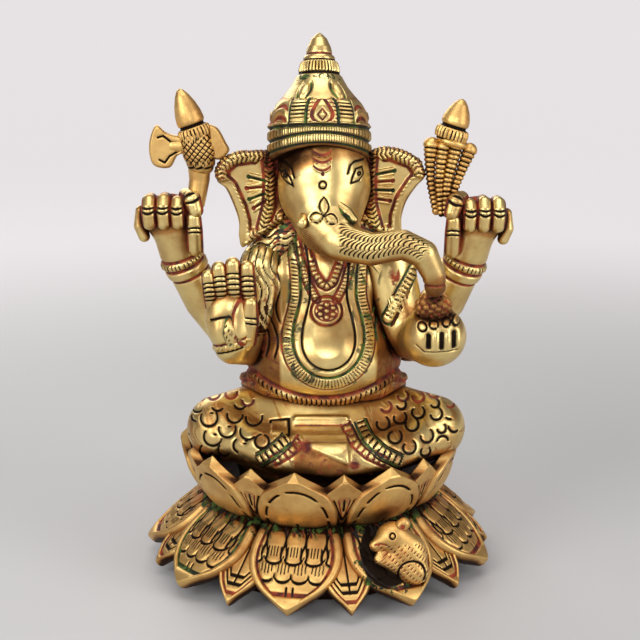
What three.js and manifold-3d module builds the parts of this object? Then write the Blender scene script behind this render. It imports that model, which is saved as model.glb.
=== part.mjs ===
// A cast brass figure of Ganesha seated in a double lotus, as its castings come apart on a bench.
// Millimetres, +Z up. The figure faces -Y, and the origin is on the table under the figure's middle.
// A casting is a skin over a smooth field of eggs and limbs; the lotus rings are sections carried round the axis.
import * as THREE from "three";
import { mergeVertices } from "three/addons/utils/BufferGeometryUtils.js";
import Module from "manifold-3d";

const wasm = await Module();
wasm.setup();

// ---- driving dimensions ----
const HEIGHT = 203; // overall, foot ring to crown tip
const GAP = 0.35; // clearance left round every fitted neighbour
const PETALS = 9; // large petals in each lotus ring, with a small one between each pair
const PITCH = (2 * Math.PI) / PETALS;
const STEPS = 10; // sections to each petal pitch
const FIRST_PETAL = -10; // degrees from the front, towards +X
const MIDDLE = 1.5; // the figure sits this far to +X of the lotus

const NECK = { radius: 42, z: 27 }; // where the two lotus rings meet
const SKIRT = { tip: 68, tipZ: 4, notch: 56, notchZ: 10, lip: 2.4, arch: 1.7, smallShare: 0.8 };
const FOOT = { outer: 51, inner: 46 }; // the ring that stands on the table
const WEB = { top: NECK.z - GAP / 2, under: 22.5, hole: 8, edge: 38 }; // the skirt's top plate
const BOWL = { tip: 55, tipZ: 50, notch: 52, notchZ: 43.5, wall: 4, floor: 32.2, smallShare: 0.85 };
const STUD = { radius: 3, hole: 3.3, from: 12, to: 72 };
const WASHER = { radius: 10, thick: 1.5 };
const NUT = { acrossFlats: 10, thick: 5 };
const CROWN = { x: -0.2, y: -6, z: 159, lean: 12, spigot: 8, spigotTop: 10 };
const PLATE_Y = -4; // middle plane of the ears and of what the rear hands hold

// ---- fields: negative inside, in millimetres ----
const v3 = (x, y, z) => new THREE.Vector3(x, y, z);
const lerp = THREE.MathUtils.lerp;
const clamp01 = (t) => Math.min(1, Math.max(0, t));

// An egg with three half-axes.
function egg(centre, radii) {
  const [cx, cy, cz] = centre;
  const [a, b, c] = radii;
  return (p) => {
    const x = p.x - cx;
    const y = p.y - cy;
    const z = p.z - cz;
    const k0 = Math.hypot(x / a, y / b, z / c);
    const k1 = Math.hypot(x / (a * a), y / (b * b), z / (c * c));
    return k1 < 1e-9 ? -Math.min(a, b, c) : (k0 * (k0 - 1)) / k1;
  };
}

// A chain of round cones through [x, y, z, radius] knots.
function limb(...knots) {
  return (p) => {
    let best = Infinity;
    for (let i = 0; i + 1 < knots.length; i++) {
      const a = knots[i];
      const b = knots[i + 1];
      const d = [b[0] - a[0], b[1] - a[1], b[2] - a[2]];
      const q = [p.x - a[0], p.y - a[1], p.z - a[2]];
      const t = clamp01((q[0] * d[0] + q[1] * d[1] + q[2] * d[2]) / (d[0] ** 2 + d[1] ** 2 + d[2] ** 2));
      const far = Math.hypot(q[0] - d[0] * t, q[1] - d[1] * t, q[2] - d[2] * t);
      best = Math.min(best, far - lerp(a[3], b[3], t));
    }
    return best;
  };
}

// Fields melted together with fillets of about k.
function melt(k, ...fields) {
  return (p) =>
    fields.reduce((d, field) => {
      const e = field(p);
      const h = clamp01(0.5 + (0.5 * (e - d)) / k);
      return lerp(e, d, h) - k * h * (1 - h);
    }, 1e6);
}

const above = (z, field) => (p) => Math.max(field(p), z - p.z);

// ---- meshes and solids ----

// A closed mesh from rings of points, with a single point at each end.
function closedRings(rings, start, end) {
  const around = rings[0].length;
  const points = [start, ...rings.flat(), end];
  const at = (i, j) => 1 + i * around + (j % around);
  const faces = [];
  for (let j = 0; j < around; j++) faces.push(0, at(0, j + 1), at(0, j));
  for (let i = 0; i + 1 < rings.length; i++)
    for (let j = 0; j < around; j++) {
      faces.push(at(i, j), at(i, j + 1), at(i + 1, j + 1));
      faces.push(at(i, j), at(i + 1, j + 1), at(i + 1, j));
    }
  const last = rings.length - 1;
  for (let j = 0; j < around; j++) faces.push(points.length - 1, at(last, j), at(last, j + 1));
  return new THREE.BufferGeometry().setFromPoints(points).setIndex(faces);
}

// The first place where the ray from a point leaves the field, made fatter by grow.
function leave(field, from, way, reach, grow) {
  const p = v3(0, 0, 0);
  const inside = (r) => field(p.copy(from).addScaledVector(way, r)) < grow;
  const step = reach / 40;
  let near = 0;
  while (near + step < reach && inside(near + step)) near += step;
  let far = near + step;
  for (let i = 0; i < 16; i++) {
    const mid = (near + far) / 2;
    if (inside(mid)) near = mid;
    else far = mid;
  }
  return from.clone().addScaledVector(way, (near + far) / 2);
}

// A skin over a field, shot outwards from a spine: round caps at its ends and rings between them.
function skin(field, spine, { side = [0, 1, 0], along = 10, around = 14, cap = 3, reach = 40, grow = 0 } = {}) {
  const curve = new THREE.CatmullRomCurve3(spine.map((q) => v3(...q)), false, "centripetal");
  const rings = [];
  const ring = (centre, tangent, tilt) => {
    const n1 = v3(...side).projectOnPlane(tangent).normalize();
    const n2 = tangent.clone().cross(n1);
    const points = [];
    for (let j = 0; j < around; j++) {
      const a = (2 * Math.PI * j) / around;
      const way = n1.clone().multiplyScalar(Math.cos(a)).addScaledVector(n2, Math.sin(a));
      way.multiplyScalar(Math.cos(tilt)).addScaledVector(tangent, Math.sin(tilt));
      points.push(leave(field, centre, way, reach, grow));
    }
    rings.push(points);
  };
  const [a, ta] = [curve.getPointAt(0), curve.getTangentAt(0)];
  const [b, tb] = [curve.getPointAt(1), curve.getTangentAt(1)];
  for (let i = 1; i <= cap; i++) ring(a, ta, ((i / (cap + 1)) * Math.PI) / 2 - Math.PI / 2);
  for (let i = 0; i <= along; i++) ring(curve.getPointAt(i / along), curve.getTangentAt(i / along), 0);
  for (let i = 1; i <= cap; i++) ring(b, tb, ((i / (cap + 1)) * Math.PI) / 2);
  const start = leave(field, a, ta.clone().negate(), reach, grow);
  const end = leave(field, b, tb, reach, grow);
  return solid(closedRings(rings, start, end));
}

// A round-ended tube through [x, y, z, radius] knots.
function tube(knots, grow, { along = 3, around = 12, cap = 2, side } = {}) {
  return skin(limb(...knots), knots.map((q) => q.slice(0, 3)), { side, along, around, cap, reach: 16, grow });
}

// A manifold solid from a closed geometry.
function solid(geometry) {
  const bare = geometry.index ? geometry.toNonIndexed() : geometry.clone();
  bare.deleteAttribute("normal");
  bare.deleteAttribute("uv");
  const merged = mergeVertices(bare, 1e-4);
  const made = new wasm.Manifold(
    new wasm.Mesh({
      numProp: 3,
      vertProperties: new Float32Array(merged.attributes.position.array),
      triVerts: new Uint32Array(merged.index.array),
    }),
  );
  if (made.volume() < 0) throw new Error("a geometry is inside out");
  return made;
}

// The largest piece of a solid, as a three.js geometry.
function geometryOf(made) {
  const bodies = made.decompose().sort((p, q) => q.volume() - p.volume());
  const mesh = bodies[0].getMesh();
  const points = new Float32Array(mesh.numVert * 3);
  for (let i = 0; i < mesh.numVert; i++)
    points.set(mesh.vertProperties.subarray(i * mesh.numProp, i * mesh.numProp + 3), i * 3);
  return new THREE.BufferGeometry()
    .setAttribute("position", new THREE.BufferAttribute(points, 3))
    .setIndex(new THREE.BufferAttribute(new Uint32Array(mesh.triVerts), 1));
}

// A solid turned about +Z from a profile of [radius, z] points that starts and ends on the axis, bottom first.
function turned(profile, segments, place = new THREE.Matrix4()) {
  const lathe = new THREE.LatheGeometry(profile.map((q) => new THREE.Vector2(...q)), segments);
  return solid(lathe.applyMatrix4(new THREE.Matrix4().makeRotationX(Math.PI / 2)).applyMatrix4(place));
}

function cylinder(radius, low, high, { segments = 16, place } = {}) {
  return turned([[0, low], [radius, low], [radius, high], [0, high]], segments, place);
}

// A flat outline of [x, z] points, counterclockwise seen from the front, thick in Y about PLATE_Y.
function plate(outline, thick) {
  const shape = new THREE.Shape(outline.map((q) => new THREE.Vector2(...q)));
  const slab = new THREE.ExtrudeGeometry(shape, { depth: thick, bevelEnabled: false });
  slab.applyMatrix4(new THREE.Matrix4().makeRotationX(Math.PI / 2));
  return solid(slab.translate(0, PLATE_Y + thick / 2, 0));
}

const join = (...solids) => solids.reduce((made, next) => made.add(next));
const cutBy = (made, ...cutters) => cutters.reduce((left, cutter) => left.subtract(cutter), made);

// ---- lotus rings ----

// How far a ring's edge stands out at an angle: 1 at a large petal's tip, smallShare at a small one's, 0 in a notch.
function edge(angle, smallShare) {
  const turn = angle - THREE.MathUtils.degToRad(FIRST_PETAL);
  const large = Math.abs(turn - PITCH * Math.round(turn / PITCH)) / PITCH;
  const small = 0.5 - large;
  return Math.max(1 - (large / 0.34) ** 1.6, smallShare * (1 - (small / 0.17) ** 1.4), 0);
}

// A closed ring from a section, a closed loop of [radius, z] points, that changes with the angle.
function ringOf(sectionAt) {
  const around = PETALS * STEPS;
  const count = sectionAt(0).length;
  const points = [];
  const faces = [];
  const at = (i, k) => (i % around) * count + (k % count);
  for (let i = 0; i < around; i++) {
    const angle = (2 * Math.PI * i) / around;
    for (const [radius, z] of sectionAt(angle))
      points.push(v3(radius * Math.sin(angle), -radius * Math.cos(angle), z));
    for (let k = 0; k < count; k++) {
      faces.push(at(i, k), at(i, k + 1), at(i + 1, k + 1));
      faces.push(at(i, k), at(i + 1, k + 1), at(i + 1, k));
    }
  }
  return solid(new THREE.BufferGeometry().setFromPoints(points).setIndex(faces));
}

// Downturned petals on a hollow foot, with a web on top that the bowl stands on.
function lotusSkirt() {
  return ringOf((angle) => {
    const e = edge(angle, SKIRT.smallShare);
    const tip = [lerp(SKIRT.notch, SKIRT.tip, e), lerp(SKIRT.notchZ, SKIRT.tipZ, e)];
    return [
      [WEB.hole, WEB.top],
      [NECK.radius, WEB.top],
      [(NECK.radius + tip[0]) / 2 + SKIRT.arch, (WEB.top + tip[1]) / 2 + SKIRT.arch],
      tip,
      [tip[0] - SKIRT.lip / 2, tip[1] - SKIRT.lip],
      [FOOT.outer + 0.6, SKIRT.notchZ - 4],
      [FOOT.outer, 0],
      [FOOT.inner, 0],
      [WEB.edge, WEB.under],
      [WEB.hole, WEB.under],
    ];
  });
}

// Upturned petals in a cup, with a flat floor and a hole for the stud.
function lotusBowl(grow = 0) {
  const spread = (1.5 * grow) / BOWL.notch; // widens each petal by the clearance
  const under = NECK.z + GAP / 2;
  return ringOf((angle) => {
    const e = Math.max(...[-spread, 0, spread].map((turn) => edge(angle + turn, BOWL.smallShare)));
    const rim = [lerp(BOWL.notch, BOWL.tip, e) + grow, lerp(BOWL.notchZ, BOWL.tipZ, e) + 1.5 * grow];
    return [
      [STUD.hole, BOWL.floor + grow],
      [38 - grow, BOWL.floor + grow],
      [43 - grow, 35],
      [46.5 - grow, 39.5],
      [rim[0] - BOWL.wall - 2 * grow, rim[1] - 0.8],
      rim,
      [51 + grow, 39],
      [47 + grow, 32],
      [NECK.radius - 0.5, under],
      [STUD.hole, under],
    ];
  });
}

// ---- the figure's fields and bones ----
const TORSO = melt(
  9,
  egg([MIDDLE, -3, 83], [30, 26, 21]),
  egg([MIDDLE, 1, 106], [25, 18, 22]),
  limb([-17, 3, 113, 9], [21, 3, 113, 9]),
  limb([MIDDLE, -2, 118, 13], [MIDDLE, -4, 128, 10]),
);
const LEGS = above(
  BOWL.floor + GAP,
  melt(
    6,
    egg([MIDDLE, 4, 58], [38, 27, 13]),
    limb([-16, -2, 60, 12], [-39, -10, 56, 11.5]),
    limb([19, -2, 60, 12], [44, -10, 56, 11.5]),
    limb([-38, -14, 54, 9.5], [-14, -35, 53, 7], [2, -41, 52, 5]),
    limb([42, -14, 54, 9.5], [24, -35, 53, 7], [8, -41, 52, 5]),
    egg([4, -28, 52], [24, 16, 9]),
    limb([0, 0, 44, 33], [0, 0, 46, 33]),
  ),
);
const HEAD = melt(6, egg([1.6, -9, 151], [16.6, 17, 21]), limb([1.6, -13, 145, 14.5], [3, -21, 136, 10.5]));
const NECK_TENON = [[1.6, -5, 142, 12], [1.6, -3, 122, 11]];
const TRUNK = [[3, -20, 138, 10], [7, -30, 131.5, 7], [18, -37, 130, 5.8], [29, -39, 132, 5.3],
  [36.5, -38, 128.5, 5], [40.2, -37, 121, 4.2], [40.8, -36.5, 116.5, 3.8]];

// Bones are chains of knots; tenons are the pegs that the arms hang on in the torso.
const REAR_RIGHT = {
  upper: [[-23, 7, 105, 8], [-32, 9, 86, 9]],
  fore: [[-32, 9, 86, 9], [-44, 5, 102, 8.3], [-52, 0, 119, 7.4], [-55, -3, 131, 7]],
  fist: [-55, 137, 1],
  tenon: [[-23, 7, 105, 4.5], [-12, 5, 107, 4.5]],
};
const REAR_LEFT = {
  upper: [[26, 7, 105, 8], [35, 9, 86, 9]],
  fore: [[35, 9, 86, 9], [48, 5, 102, 8.3], [55, 0, 118, 7.4], [58, -3, 130, 7]],
  fist: [58, 136, -1],
  tenon: [[26, 7, 105, 4.5], [15, 5, 107, 4.5]],
};
const FRONT_RIGHT = {
  upper: [[-20, -5, 105, 8], [-24, -8, 88, 8.5]],
  fore: [[-24, -8, 88, 8.5], [-32, -22, 91, 7], [-32, -25, 98, 7.5]],
  tenon: [[-20, -5, 104, 4], [-11, -4, 104, 4]],
};
const FRONT_LEFT = {
  upper: [[25, -5, 105, 9], [32, -9, 92, 8.5]],
  fore: [[32, -9, 92, 8.5], [38, -20, 92, 8]],
  tenon: [[25, -5, 104, 4], [14, -4, 104, 4]],
};
const PALM = [-32, -25, 100];
const FINGERTIPS = [[-40.3, 117, 2.3], [-35.8, 121, 2.6], [-30.6, 123, 2.7], [-25.6, 120, 2.5]];
const THUMB = [[-25, -27, 97, 3.6], [-23.5, -28.5, 107, 2.8]];
const OPEN_HAND = [41, -27, 96];
const SWEETS = [40.5, -32, 105.5];

const torso = (grow = 0) => skin(TORSO, [[MIDDLE, -2, 80], [MIDDLE, 0, 118]], { along: 9, around: 22, cap: 4, grow });
const legs = () =>
  skin(LEGS, [[-36, -10, 54], [MIDDLE, -8, 54], [40, -10, 54]], { side: [0, 0, 1], along: 16, around: 20, reach: 60 });
const head = (grow = 0) => skin(HEAD, [[1.6, -9, 156], [2, -13, 145]], { along: 5, around: 16, grow });
const neck = (grow = 0) => tube(NECK_TENON, grow, { along: 1, around: 14 });
const trunk = () => tube(TRUNK, 0, { along: 13, side: [0, 0, 1] });
const bone = (grow, ...chains) => join(...chains.map((knots) => tube(knots, grow, { along: 2 * knots.length - 3, around: 10 })));

// A hand folded round a shaft, seen from the front: a palm block, three fingers over it, a thumb and a heel.
function fist([x, z, way], grow) {
  const fingers = [-7.5, -1.5, 4.5].map((d) =>
    limb([x + way * d, -4, z + 6, 3.1], [x + way * d, -12, z + 4, 3], [x + way * d, -13, z - 3, 2.7]),
  );
  const hand = melt(
    1.2,
    egg([x, -3, z], [11.5, 7.5, 9]),
    ...fingers,
    limb([x + way * 10, -6, z + 5, 3], [x + way * 9, -9, z - 2, 3.2]),
    limb([x - way * 11.5, -4, z - 1, 2.4], [x - way * 10.5, -4, z - 7, 3]),
  );
  return skin(hand, [[x - 7, -5, z], [x + 7, -5, z]], { side: [0, 0, 1], along: 8, around: 12, cap: 2, reach: 20, grow });
}

// A rear arm, folded up at the elbow and ending in a fist.
const rearArm = (arm) => join(bone(0, arm.upper, arm.fore), fist(arm.fist, 0));

// The raised hand: a palm with four fingers and a thumb.
function blessingArm(grow = 0) {
  const [x, y, z] = PALM;
  const palm = skin(egg(PALM, [10.5, 6, 11]), [[x, y, z - 3], [x, y, z + 3]], { along: 2, reach: 14, grow });
  const fingers = FINGERTIPS.map(([tipX, tipZ, radius]) =>
    tube([[lerp(x, tipX, 0.6), y - 1, z + 4, radius], [tipX, y - 1, tipZ, radius]], grow, { around: 8 }),
  );
  return join(bone(grow, FRONT_RIGHT.upper, FRONT_RIGHT.fore), palm, ...fingers, tube(THUMB, grow, { around: 8 }));
}

// The open hand that holds the sweets.
function givingArm(grow = 0) {
  const [x, y, z] = OPEN_HAND;
  const hand = skin(egg(OPEN_HAND, [12, 12, 12]), [[x, y, z - 2], [x, y, z + 2]], { along: 2, reach: 16, grow });
  return join(bone(grow, FRONT_LEFT.upper, FRONT_LEFT.fore), hand);
}

// ---- crown, ears and tusks ----
const crownPlace = new THREE.Matrix4()
  .makeTranslation(CROWN.x, CROWN.y, CROWN.z)
  .multiply(new THREE.Matrix4().makeRotationX(-THREE.MathUtils.degToRad(CROWN.lean)));

// The tall cap, turned and leaning back. Its tip sets the overall height.
function crown(grow = 0) {
  const tip = (HEIGHT - CROWN.z) / Math.cos(THREE.MathUtils.degToRad(CROWN.lean));
  const wall = [[19.8, 1.5], [19.2, 7], [18.6, 13], [17.2, 18], [14.6, 21.4], [11.4, 25], [8.6, 30], [7.2, 33.5],
    [5.6, 37], [3.2, 42]];
  const grown = wall.map(([radius, z]) => [radius + grow, z]);
  return turned([[0, -grow], [19.4 + grow, -grow], ...grown, [0, tip + grow]], 24, crownPlace);
}

const crownSpigot = (grow = 0) =>
  cylinder(CROWN.spigot + grow, -CROWN.spigotTop, CROWN.spigotTop + grow, { place: crownPlace });

// An ear on either side: a fan with a rounded top, a full outer edge and a slanting hem, let into the head.
function ear(way, grow = 0) {
  const middle = way > 0 ? 2 : 0;
  const fan = [[12.5, 134 - grow], [29.5, 124.5 - grow], [33 + grow, 138], [38 + grow, 150], [37 + grow, 155],
    [31, 160 + grow], [25, 161.5 + grow], [18, 159.5 + grow], [12.5, 156 + grow]];
  const outline = fan.map(([x, z]) => [middle + way * x, z]);
  return plate(way > 0 ? outline : outline.reverse(), 4 + 2 * grow);
}

const tusk = (root, tip) => (grow = 0) =>
  tube([[...root, 2.8], [...tip, 1.9]], grow, { side: [0, 0, 1], along: 2, around: 8 });
const rightTusk = tusk([-5, -19, 141], [-9.5, -27, 137.5]);
const leftTusk = tusk([10, -19, 143], [13, -27, 139]);

// ---- what the hands hold ----

// The pointed finial on both attributes, leaning sideways by lean.
const finial = (x, z, lean) =>
  limb([x, PLATE_Y, z, 5], [x + lean * 0.55, PLATE_Y, z + 7, 4], [x + lean, PLATE_Y, z + 12, 1.4]);

const AXE = melt(
  1.5,
  finial(-47, 169.5, -4.4),
  limb([-45.5, PLATE_Y, 164, 6], [-44, PLATE_Y, 158, 5.6], [-43.2, PLATE_Y, 150, 4], [-44, PLATE_Y, 140, 3.2]),
  egg([-39, PLATE_Y, 160], [3, 2.6, 8]),
);
const NOOSE = melt(
  1.5,
  finial(48.6, 169, 3.2),
  limb([48, PLATE_Y, 163, 6.2], [46.5, PLATE_Y, 150, 5], [45.6, PLATE_Y, 138, 2.6]),
  limb([41, PLATE_Y, 162, 3.2], [42, PLATE_Y, 148, 2.6]),
  limb([56, PLATE_Y, 160, 2.6], [51, PLATE_Y, 147, 2.2]),
);

const heldThing = (field, spine, grow) =>
  skin(field, spine.map(([x, z]) => [x, PLATE_Y, z]), { around: 12, cap: 2, reach: 16, grow });

function axe(grow = 0) {
  const blade = [[-46, 161], [-51, 159.5], [-54, 155.5], [-59, 153.5], [-62.8, 158], [-62.6, 165], [-59, 170.5],
    [-55, 167.5], [-47, 165]];
  const shaft = heldThing(AXE, [[-44, 140], [-44, 156], [-47, 170], [-50.5, 179]], grow);
  return join(shaft, plate(blade.reverse(), 4.4 + 2 * grow));
}

const noose = (grow = 0) => heldThing(NOOSE, [[45.6, 138], [46.5, 150], [48, 163], [51, 176]], grow);

// The heap of sweets in the open hand.
function sweets(grow = 0) {
  const [x, y, z] = SWEETS;
  return skin(egg(SWEETS, [7.5, 7, 7.5]), [[x, y, z - 2], [x, y, z + 2]], { along: 2, around: 12, reach: 12, grow });
}

// The mouse crouches on the petal next to the front one.
const MOUSE = melt(
  2.5,
  egg([31, -49.5, 20], [8, 6, 8.5]),
  egg([26.5, -49, 27.5], [5.8, 5, 4.8]),
  egg([33.5, -52, 14.5], [6, 4.5, 5]),
  limb([24, -50.5, 26, 3.6], [19.8, -51.5, 24.5, 2]),
  limb([27, -53, 17.5, 2.4], [21.5, -53.5, 20, 2]),
);
const mouse = (grow = 0) =>
  skin(MOUSE, [[33, -51, 16], [30.5, -49.5, 21.5], [26.5, -49, 27]], { along: 7, cap: 2, reach: 16, grow });

// ---- fasteners on the stud under the web ----
const pierced = (made, low, high) => made.subtract(cylinder(STUD.hole, low - 1, high + 1));
const washerLow = WEB.under - GAP - WASHER.thick;
const nutLow = washerLow - GAP - NUT.thick;

const washer = () =>
  pierced(cylinder(WASHER.radius, washerLow, washerLow + WASHER.thick), washerLow, washerLow + WASHER.thick);

function hexNut() {
  const corner = NUT.acrossFlats / 2 / Math.cos(Math.PI / 6);
  return pierced(cylinder(corner, nutLow, nutLow + NUT.thick, { segments: 6 }), nutLow, nutLow + NUT.thick);
}

// ---- assembly ----
const BRASS = { color: 0xb98a3c, roughness: 0.32, metalness: 1 };
const DARK_BRASS = { color: 0x8a6a34, roughness: 0.5, metalness: 1 };
const STEEL = { color: 0x9a9a98, roughness: 0.45, metalness: 1 };

const idol = new THREE.Group();
idol.position.x = -MIDDLE; // stands the figure, not the lotus, over the origin

function addPiece(name, made, look = BRASS) {
  const mesh = new THREE.Mesh(geometryOf(made), new THREE.MeshStandardMaterial(look));
  mesh.name = name;
  idol.add(mesh);
}

const bore = cylinder(STUD.hole, BOWL.floor - 1, STUD.to + 1);
const ears = join(ear(-1, GAP), ear(1, GAP));
const torsoSeat = torso(GAP);
const neckSocket = neck(GAP);
const tenon = (arm, grow = 0) => tube(arm.tenon, grow, { along: 2, around: 10 });
const tenons = (grow) => [REAR_RIGHT, REAR_LEFT, FRONT_RIGHT, FRONT_LEFT].map((arm) => tenon(arm, grow));
const headSolid = join(cutBy(join(head(), trunk()), torsoSeat), neck());

addPiece("lotus_skirt", cutBy(lotusSkirt(), mouse(GAP)));
addPiece("lotus_bowl", lotusBowl());
addPiece("crossed_legs", cutBy(legs(), lotusBowl(GAP), torsoSeat, bore));
addPiece("torso", cutBy(torso(), neckSocket, bore, ...tenons(GAP)));
addPiece("head_and_trunk",
  join(cutBy(headSolid, crown(GAP), ears, rightTusk(GAP), leftTusk(GAP), sweets(GAP)), crownSpigot()));
addPiece("crown", cutBy(crown(), crownSpigot(GAP)));
addPiece("right_ear", cutBy(ear(-1), crown(GAP), axe(GAP), torsoSeat));
addPiece("left_ear", cutBy(ear(1), crown(GAP), noose(GAP), torsoSeat));
addPiece("right_tusk", rightTusk());
addPiece("left_tusk", leftTusk());
addPiece("rear_right_arm",
  join(cutBy(rearArm(REAR_RIGHT), torsoSeat, blessingArm(GAP), axe(GAP)), tenon(REAR_RIGHT)));
addPiece("rear_left_arm",
  join(cutBy(rearArm(REAR_LEFT), torsoSeat, givingArm(GAP), noose(GAP)), tenon(REAR_LEFT)));
addPiece("front_right_arm", join(cutBy(blessingArm(), torsoSeat), tenon(FRONT_RIGHT)));
addPiece("front_left_arm", join(cutBy(givingArm(), torsoSeat, sweets(GAP)), tenon(FRONT_LEFT)));
addPiece("axe", axe());
addPiece("noose", noose());
addPiece("sweets", sweets());
addPiece("mouse", mouse());
addPiece("tie_stud", cylinder(STUD.radius, STUD.from, STUD.to), STEEL);
addPiece("washer", washer(), DARK_BRASS);
addPiece("hex_nut", hexNut(), STEEL);

export default idol;
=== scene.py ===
"""A hand-chased brass Ganesha on a double lotus, dressed round its packed castings.

Lengths are millimetres in the lotus's own axes until a mesh is made: +Z up, the figure faces -Y.
A casting is a skin shot outwards from a spine onto a smooth field, and a chasing is a lift along the
skin's normal together with the lacquer that was rubbed into it.
"""
import math

import bpy
import numpy as np
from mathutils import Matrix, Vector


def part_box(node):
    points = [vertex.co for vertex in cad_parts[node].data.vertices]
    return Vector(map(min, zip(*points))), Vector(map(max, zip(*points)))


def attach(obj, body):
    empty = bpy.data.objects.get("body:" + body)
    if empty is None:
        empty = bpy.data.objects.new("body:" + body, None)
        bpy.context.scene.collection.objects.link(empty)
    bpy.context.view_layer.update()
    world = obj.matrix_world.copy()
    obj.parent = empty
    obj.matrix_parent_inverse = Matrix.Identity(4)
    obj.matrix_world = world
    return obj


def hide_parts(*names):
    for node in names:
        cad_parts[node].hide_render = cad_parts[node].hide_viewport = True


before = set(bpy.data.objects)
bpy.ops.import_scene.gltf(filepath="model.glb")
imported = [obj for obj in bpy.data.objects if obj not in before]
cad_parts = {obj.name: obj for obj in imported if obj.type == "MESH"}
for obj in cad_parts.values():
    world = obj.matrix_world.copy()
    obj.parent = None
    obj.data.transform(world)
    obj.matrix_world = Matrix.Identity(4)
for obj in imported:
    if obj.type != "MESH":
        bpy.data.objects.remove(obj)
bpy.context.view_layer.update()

MM = 0.001


def middle_of(node):
    """The middle of a casting's box, in millimetres."""
    low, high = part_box(node)
    return np.array((low + high) / 2) / MM


AXIS = np.array([middle_of("tie_stud")[0], 0.0, 0.0])  # the lotus's axis in the frame
# The last ink is tarnish, and in places painted shade as well; black fills chased lines, and in places is
# painted shade as well.
INKS = ("black", "red", "green", "tarnish_and_shade")


# ---- camera, floor and light ----
SENSOR, LENS = 36, 75.54  # millimetres
EYE_BACK, EYE_UP = 0.5, 0.2207  # metres in front of the figure and above the floor
LOOK_DOWN = 14.1  # degrees
CHEST = (0, 0, 0.1)  # where the lights aim
BLACK = (0, 0, 0, 1)
WALL = (0.80, 0.765, 0.775, 1)
ROOM = (0.22, 0.195, 0.19, 1)
FLOOR = (0.47, 0.47, 0.475)
FAR_FLOOR = (0.768, 0.733, 0.743, 1)  # what the floor gives out where it meets the wall
FADE = (0.18, 0.75)  # metres from the middle over which the floor turns into wall


def make_camera():
    """A long lens in front of the figure that looks down on it a little."""
    data = bpy.data.cameras.new("camera")
    data.sensor_width = SENSOR
    data.lens = LENS
    data.clip_end = 20
    camera = bpy.data.objects.new("camera", data)
    camera.location = (0.1 * MM + AXIS[0] * MM, -EYE_BACK, EYE_UP)
    camera.rotation_euler = (math.radians(90 - LOOK_DOWN), 0, 0)
    bpy.context.scene.collection.objects.link(camera)
    bpy.context.scene.camera = camera


def softbox(name, place, size, watts, colour=(1, 1, 1)):
    """A rectangular area light at place that faces the chest."""
    data = bpy.data.lights.new(name, "AREA")
    data.shape = "RECTANGLE"
    data.size, data.size_y = size
    data.energy = watts
    data.color = colour
    light = bpy.data.objects.new(name, data)
    light.location = place
    way = np.array(CHEST) - np.array(place)
    flat = math.hypot(way[0], way[1])
    light.rotation_euler = (math.atan2(flat, -way[2]), 0, math.atan2(way[1], way[0]) - math.pi / 2)
    bpy.context.scene.collection.objects.link(light)


def make_stage():
    """The floor, five soft lights, and a world that the camera sees as a wall."""
    floor = disc_object("floor", 6.0)
    floor.data.materials.append(floor_paint())
    softbox("window_left", (-0.66, -0.66, 0.58), (0.55, 0.8), 6.2, (1.0, 0.99, 0.97))
    softbox("window_right", (0.80, -0.45, 0.42), (0.45, 0.8), 4.4, (1.0, 0.98, 0.97))
    softbox("ceiling", (0.05, -0.10, 1.1), (0.8, 0.7), 5.0)
    softbox("front_fill", (0.02, -1.1, 0.55), (0.45, 0.3), 3.4)
    softbox("back_rim", (-0.3, 0.9, 0.6), (0.9, 0.6), 4.0)
    world = bpy.data.worlds.new("room")
    world.use_nodes = True
    nodes, links = world.node_tree.nodes, world.node_tree.links
    nodes.clear()
    out = nodes.new("ShaderNodeOutputWorld")
    either = nodes.new("ShaderNodeMixShader")
    seen = nodes.new("ShaderNodeLightPath")
    room = nodes.new("ShaderNodeBackground")
    room.inputs["Color"].default_value = ROOM
    wall = nodes.new("ShaderNodeBackground")
    wall.inputs["Color"].default_value = WALL
    links.new(seen.outputs["Is Camera Ray"], either.inputs["Fac"])
    links.new(room.outputs[0], either.inputs[1])
    links.new(wall.outputs[0], either.inputs[2])
    links.new(either.outputs[0], out.inputs[0])
    bpy.context.scene.world = world


def floor_paint():
    """Pale matt paint that brightens to the wall's own tone with distance from the middle."""
    material = plain_paint("floor_paint", FLOOR, 0.6)
    g = Graph(material.node_tree)
    shader = material.node_tree.nodes["Principled BSDF"]
    far = g.node("VectorMath", operation="LENGTH")
    g.wire(g.node("TexCoord").outputs["Object"], far.inputs[0])
    share = g.node("MapRange", interpolation_type="SMOOTHSTEP")
    g.wire(far.outputs["Value"], share.inputs["Value"])
    share.inputs["From Min"].default_value, share.inputs["From Max"].default_value = FADE
    g.wire(g.blend(share.outputs["Result"], (*FLOOR, 1), BLACK), shader.inputs["Base Color"])
    g.wire(g.blend(share.outputs["Result"], BLACK, FAR_FLOOR), shader.inputs["Emission Color"])
    shader.inputs["Emission Strength"].default_value = 1.0
    return material


def disc_object(name, radius, sides=96):
    """A flat round plate on the ground: one face with its corners on a circle."""
    turn = np.arange(sides) * 2 * math.pi / sides
    ring = np.stack([radius * np.cos(turn), radius * np.sin(turn), 0 * turn], 1)
    mesh = bpy.data.meshes.new(name)
    mesh.from_pydata(ring.tolist(), [], [list(range(sides))])
    disc = bpy.data.objects.new(name, mesh)
    bpy.context.scene.collection.objects.link(disc)
    return disc


# ---- fields: negative inside ----

def clamp01(t):
    """t, held between 0 and 1."""
    return np.clip(t, 0.0, 1.0)


def smooth(low, high, t):
    """0 below low, 1 above high, an S-curve between; low may be above high."""
    t = clamp01((t - low) / (high - low))
    return t * t * (3 - 2 * t)


def mix(a, b, t):
    """a where t is 0, b where t is 1, and in proportion between."""
    return a + (b - a) * t


def dome(d, radius):
    """The height of a unit half round at d from its middle: sqrt(1 - (d / radius)^2), and 0 beyond it."""
    return np.sqrt(clamp01(1 - (d / radius) ** 2))


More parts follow.
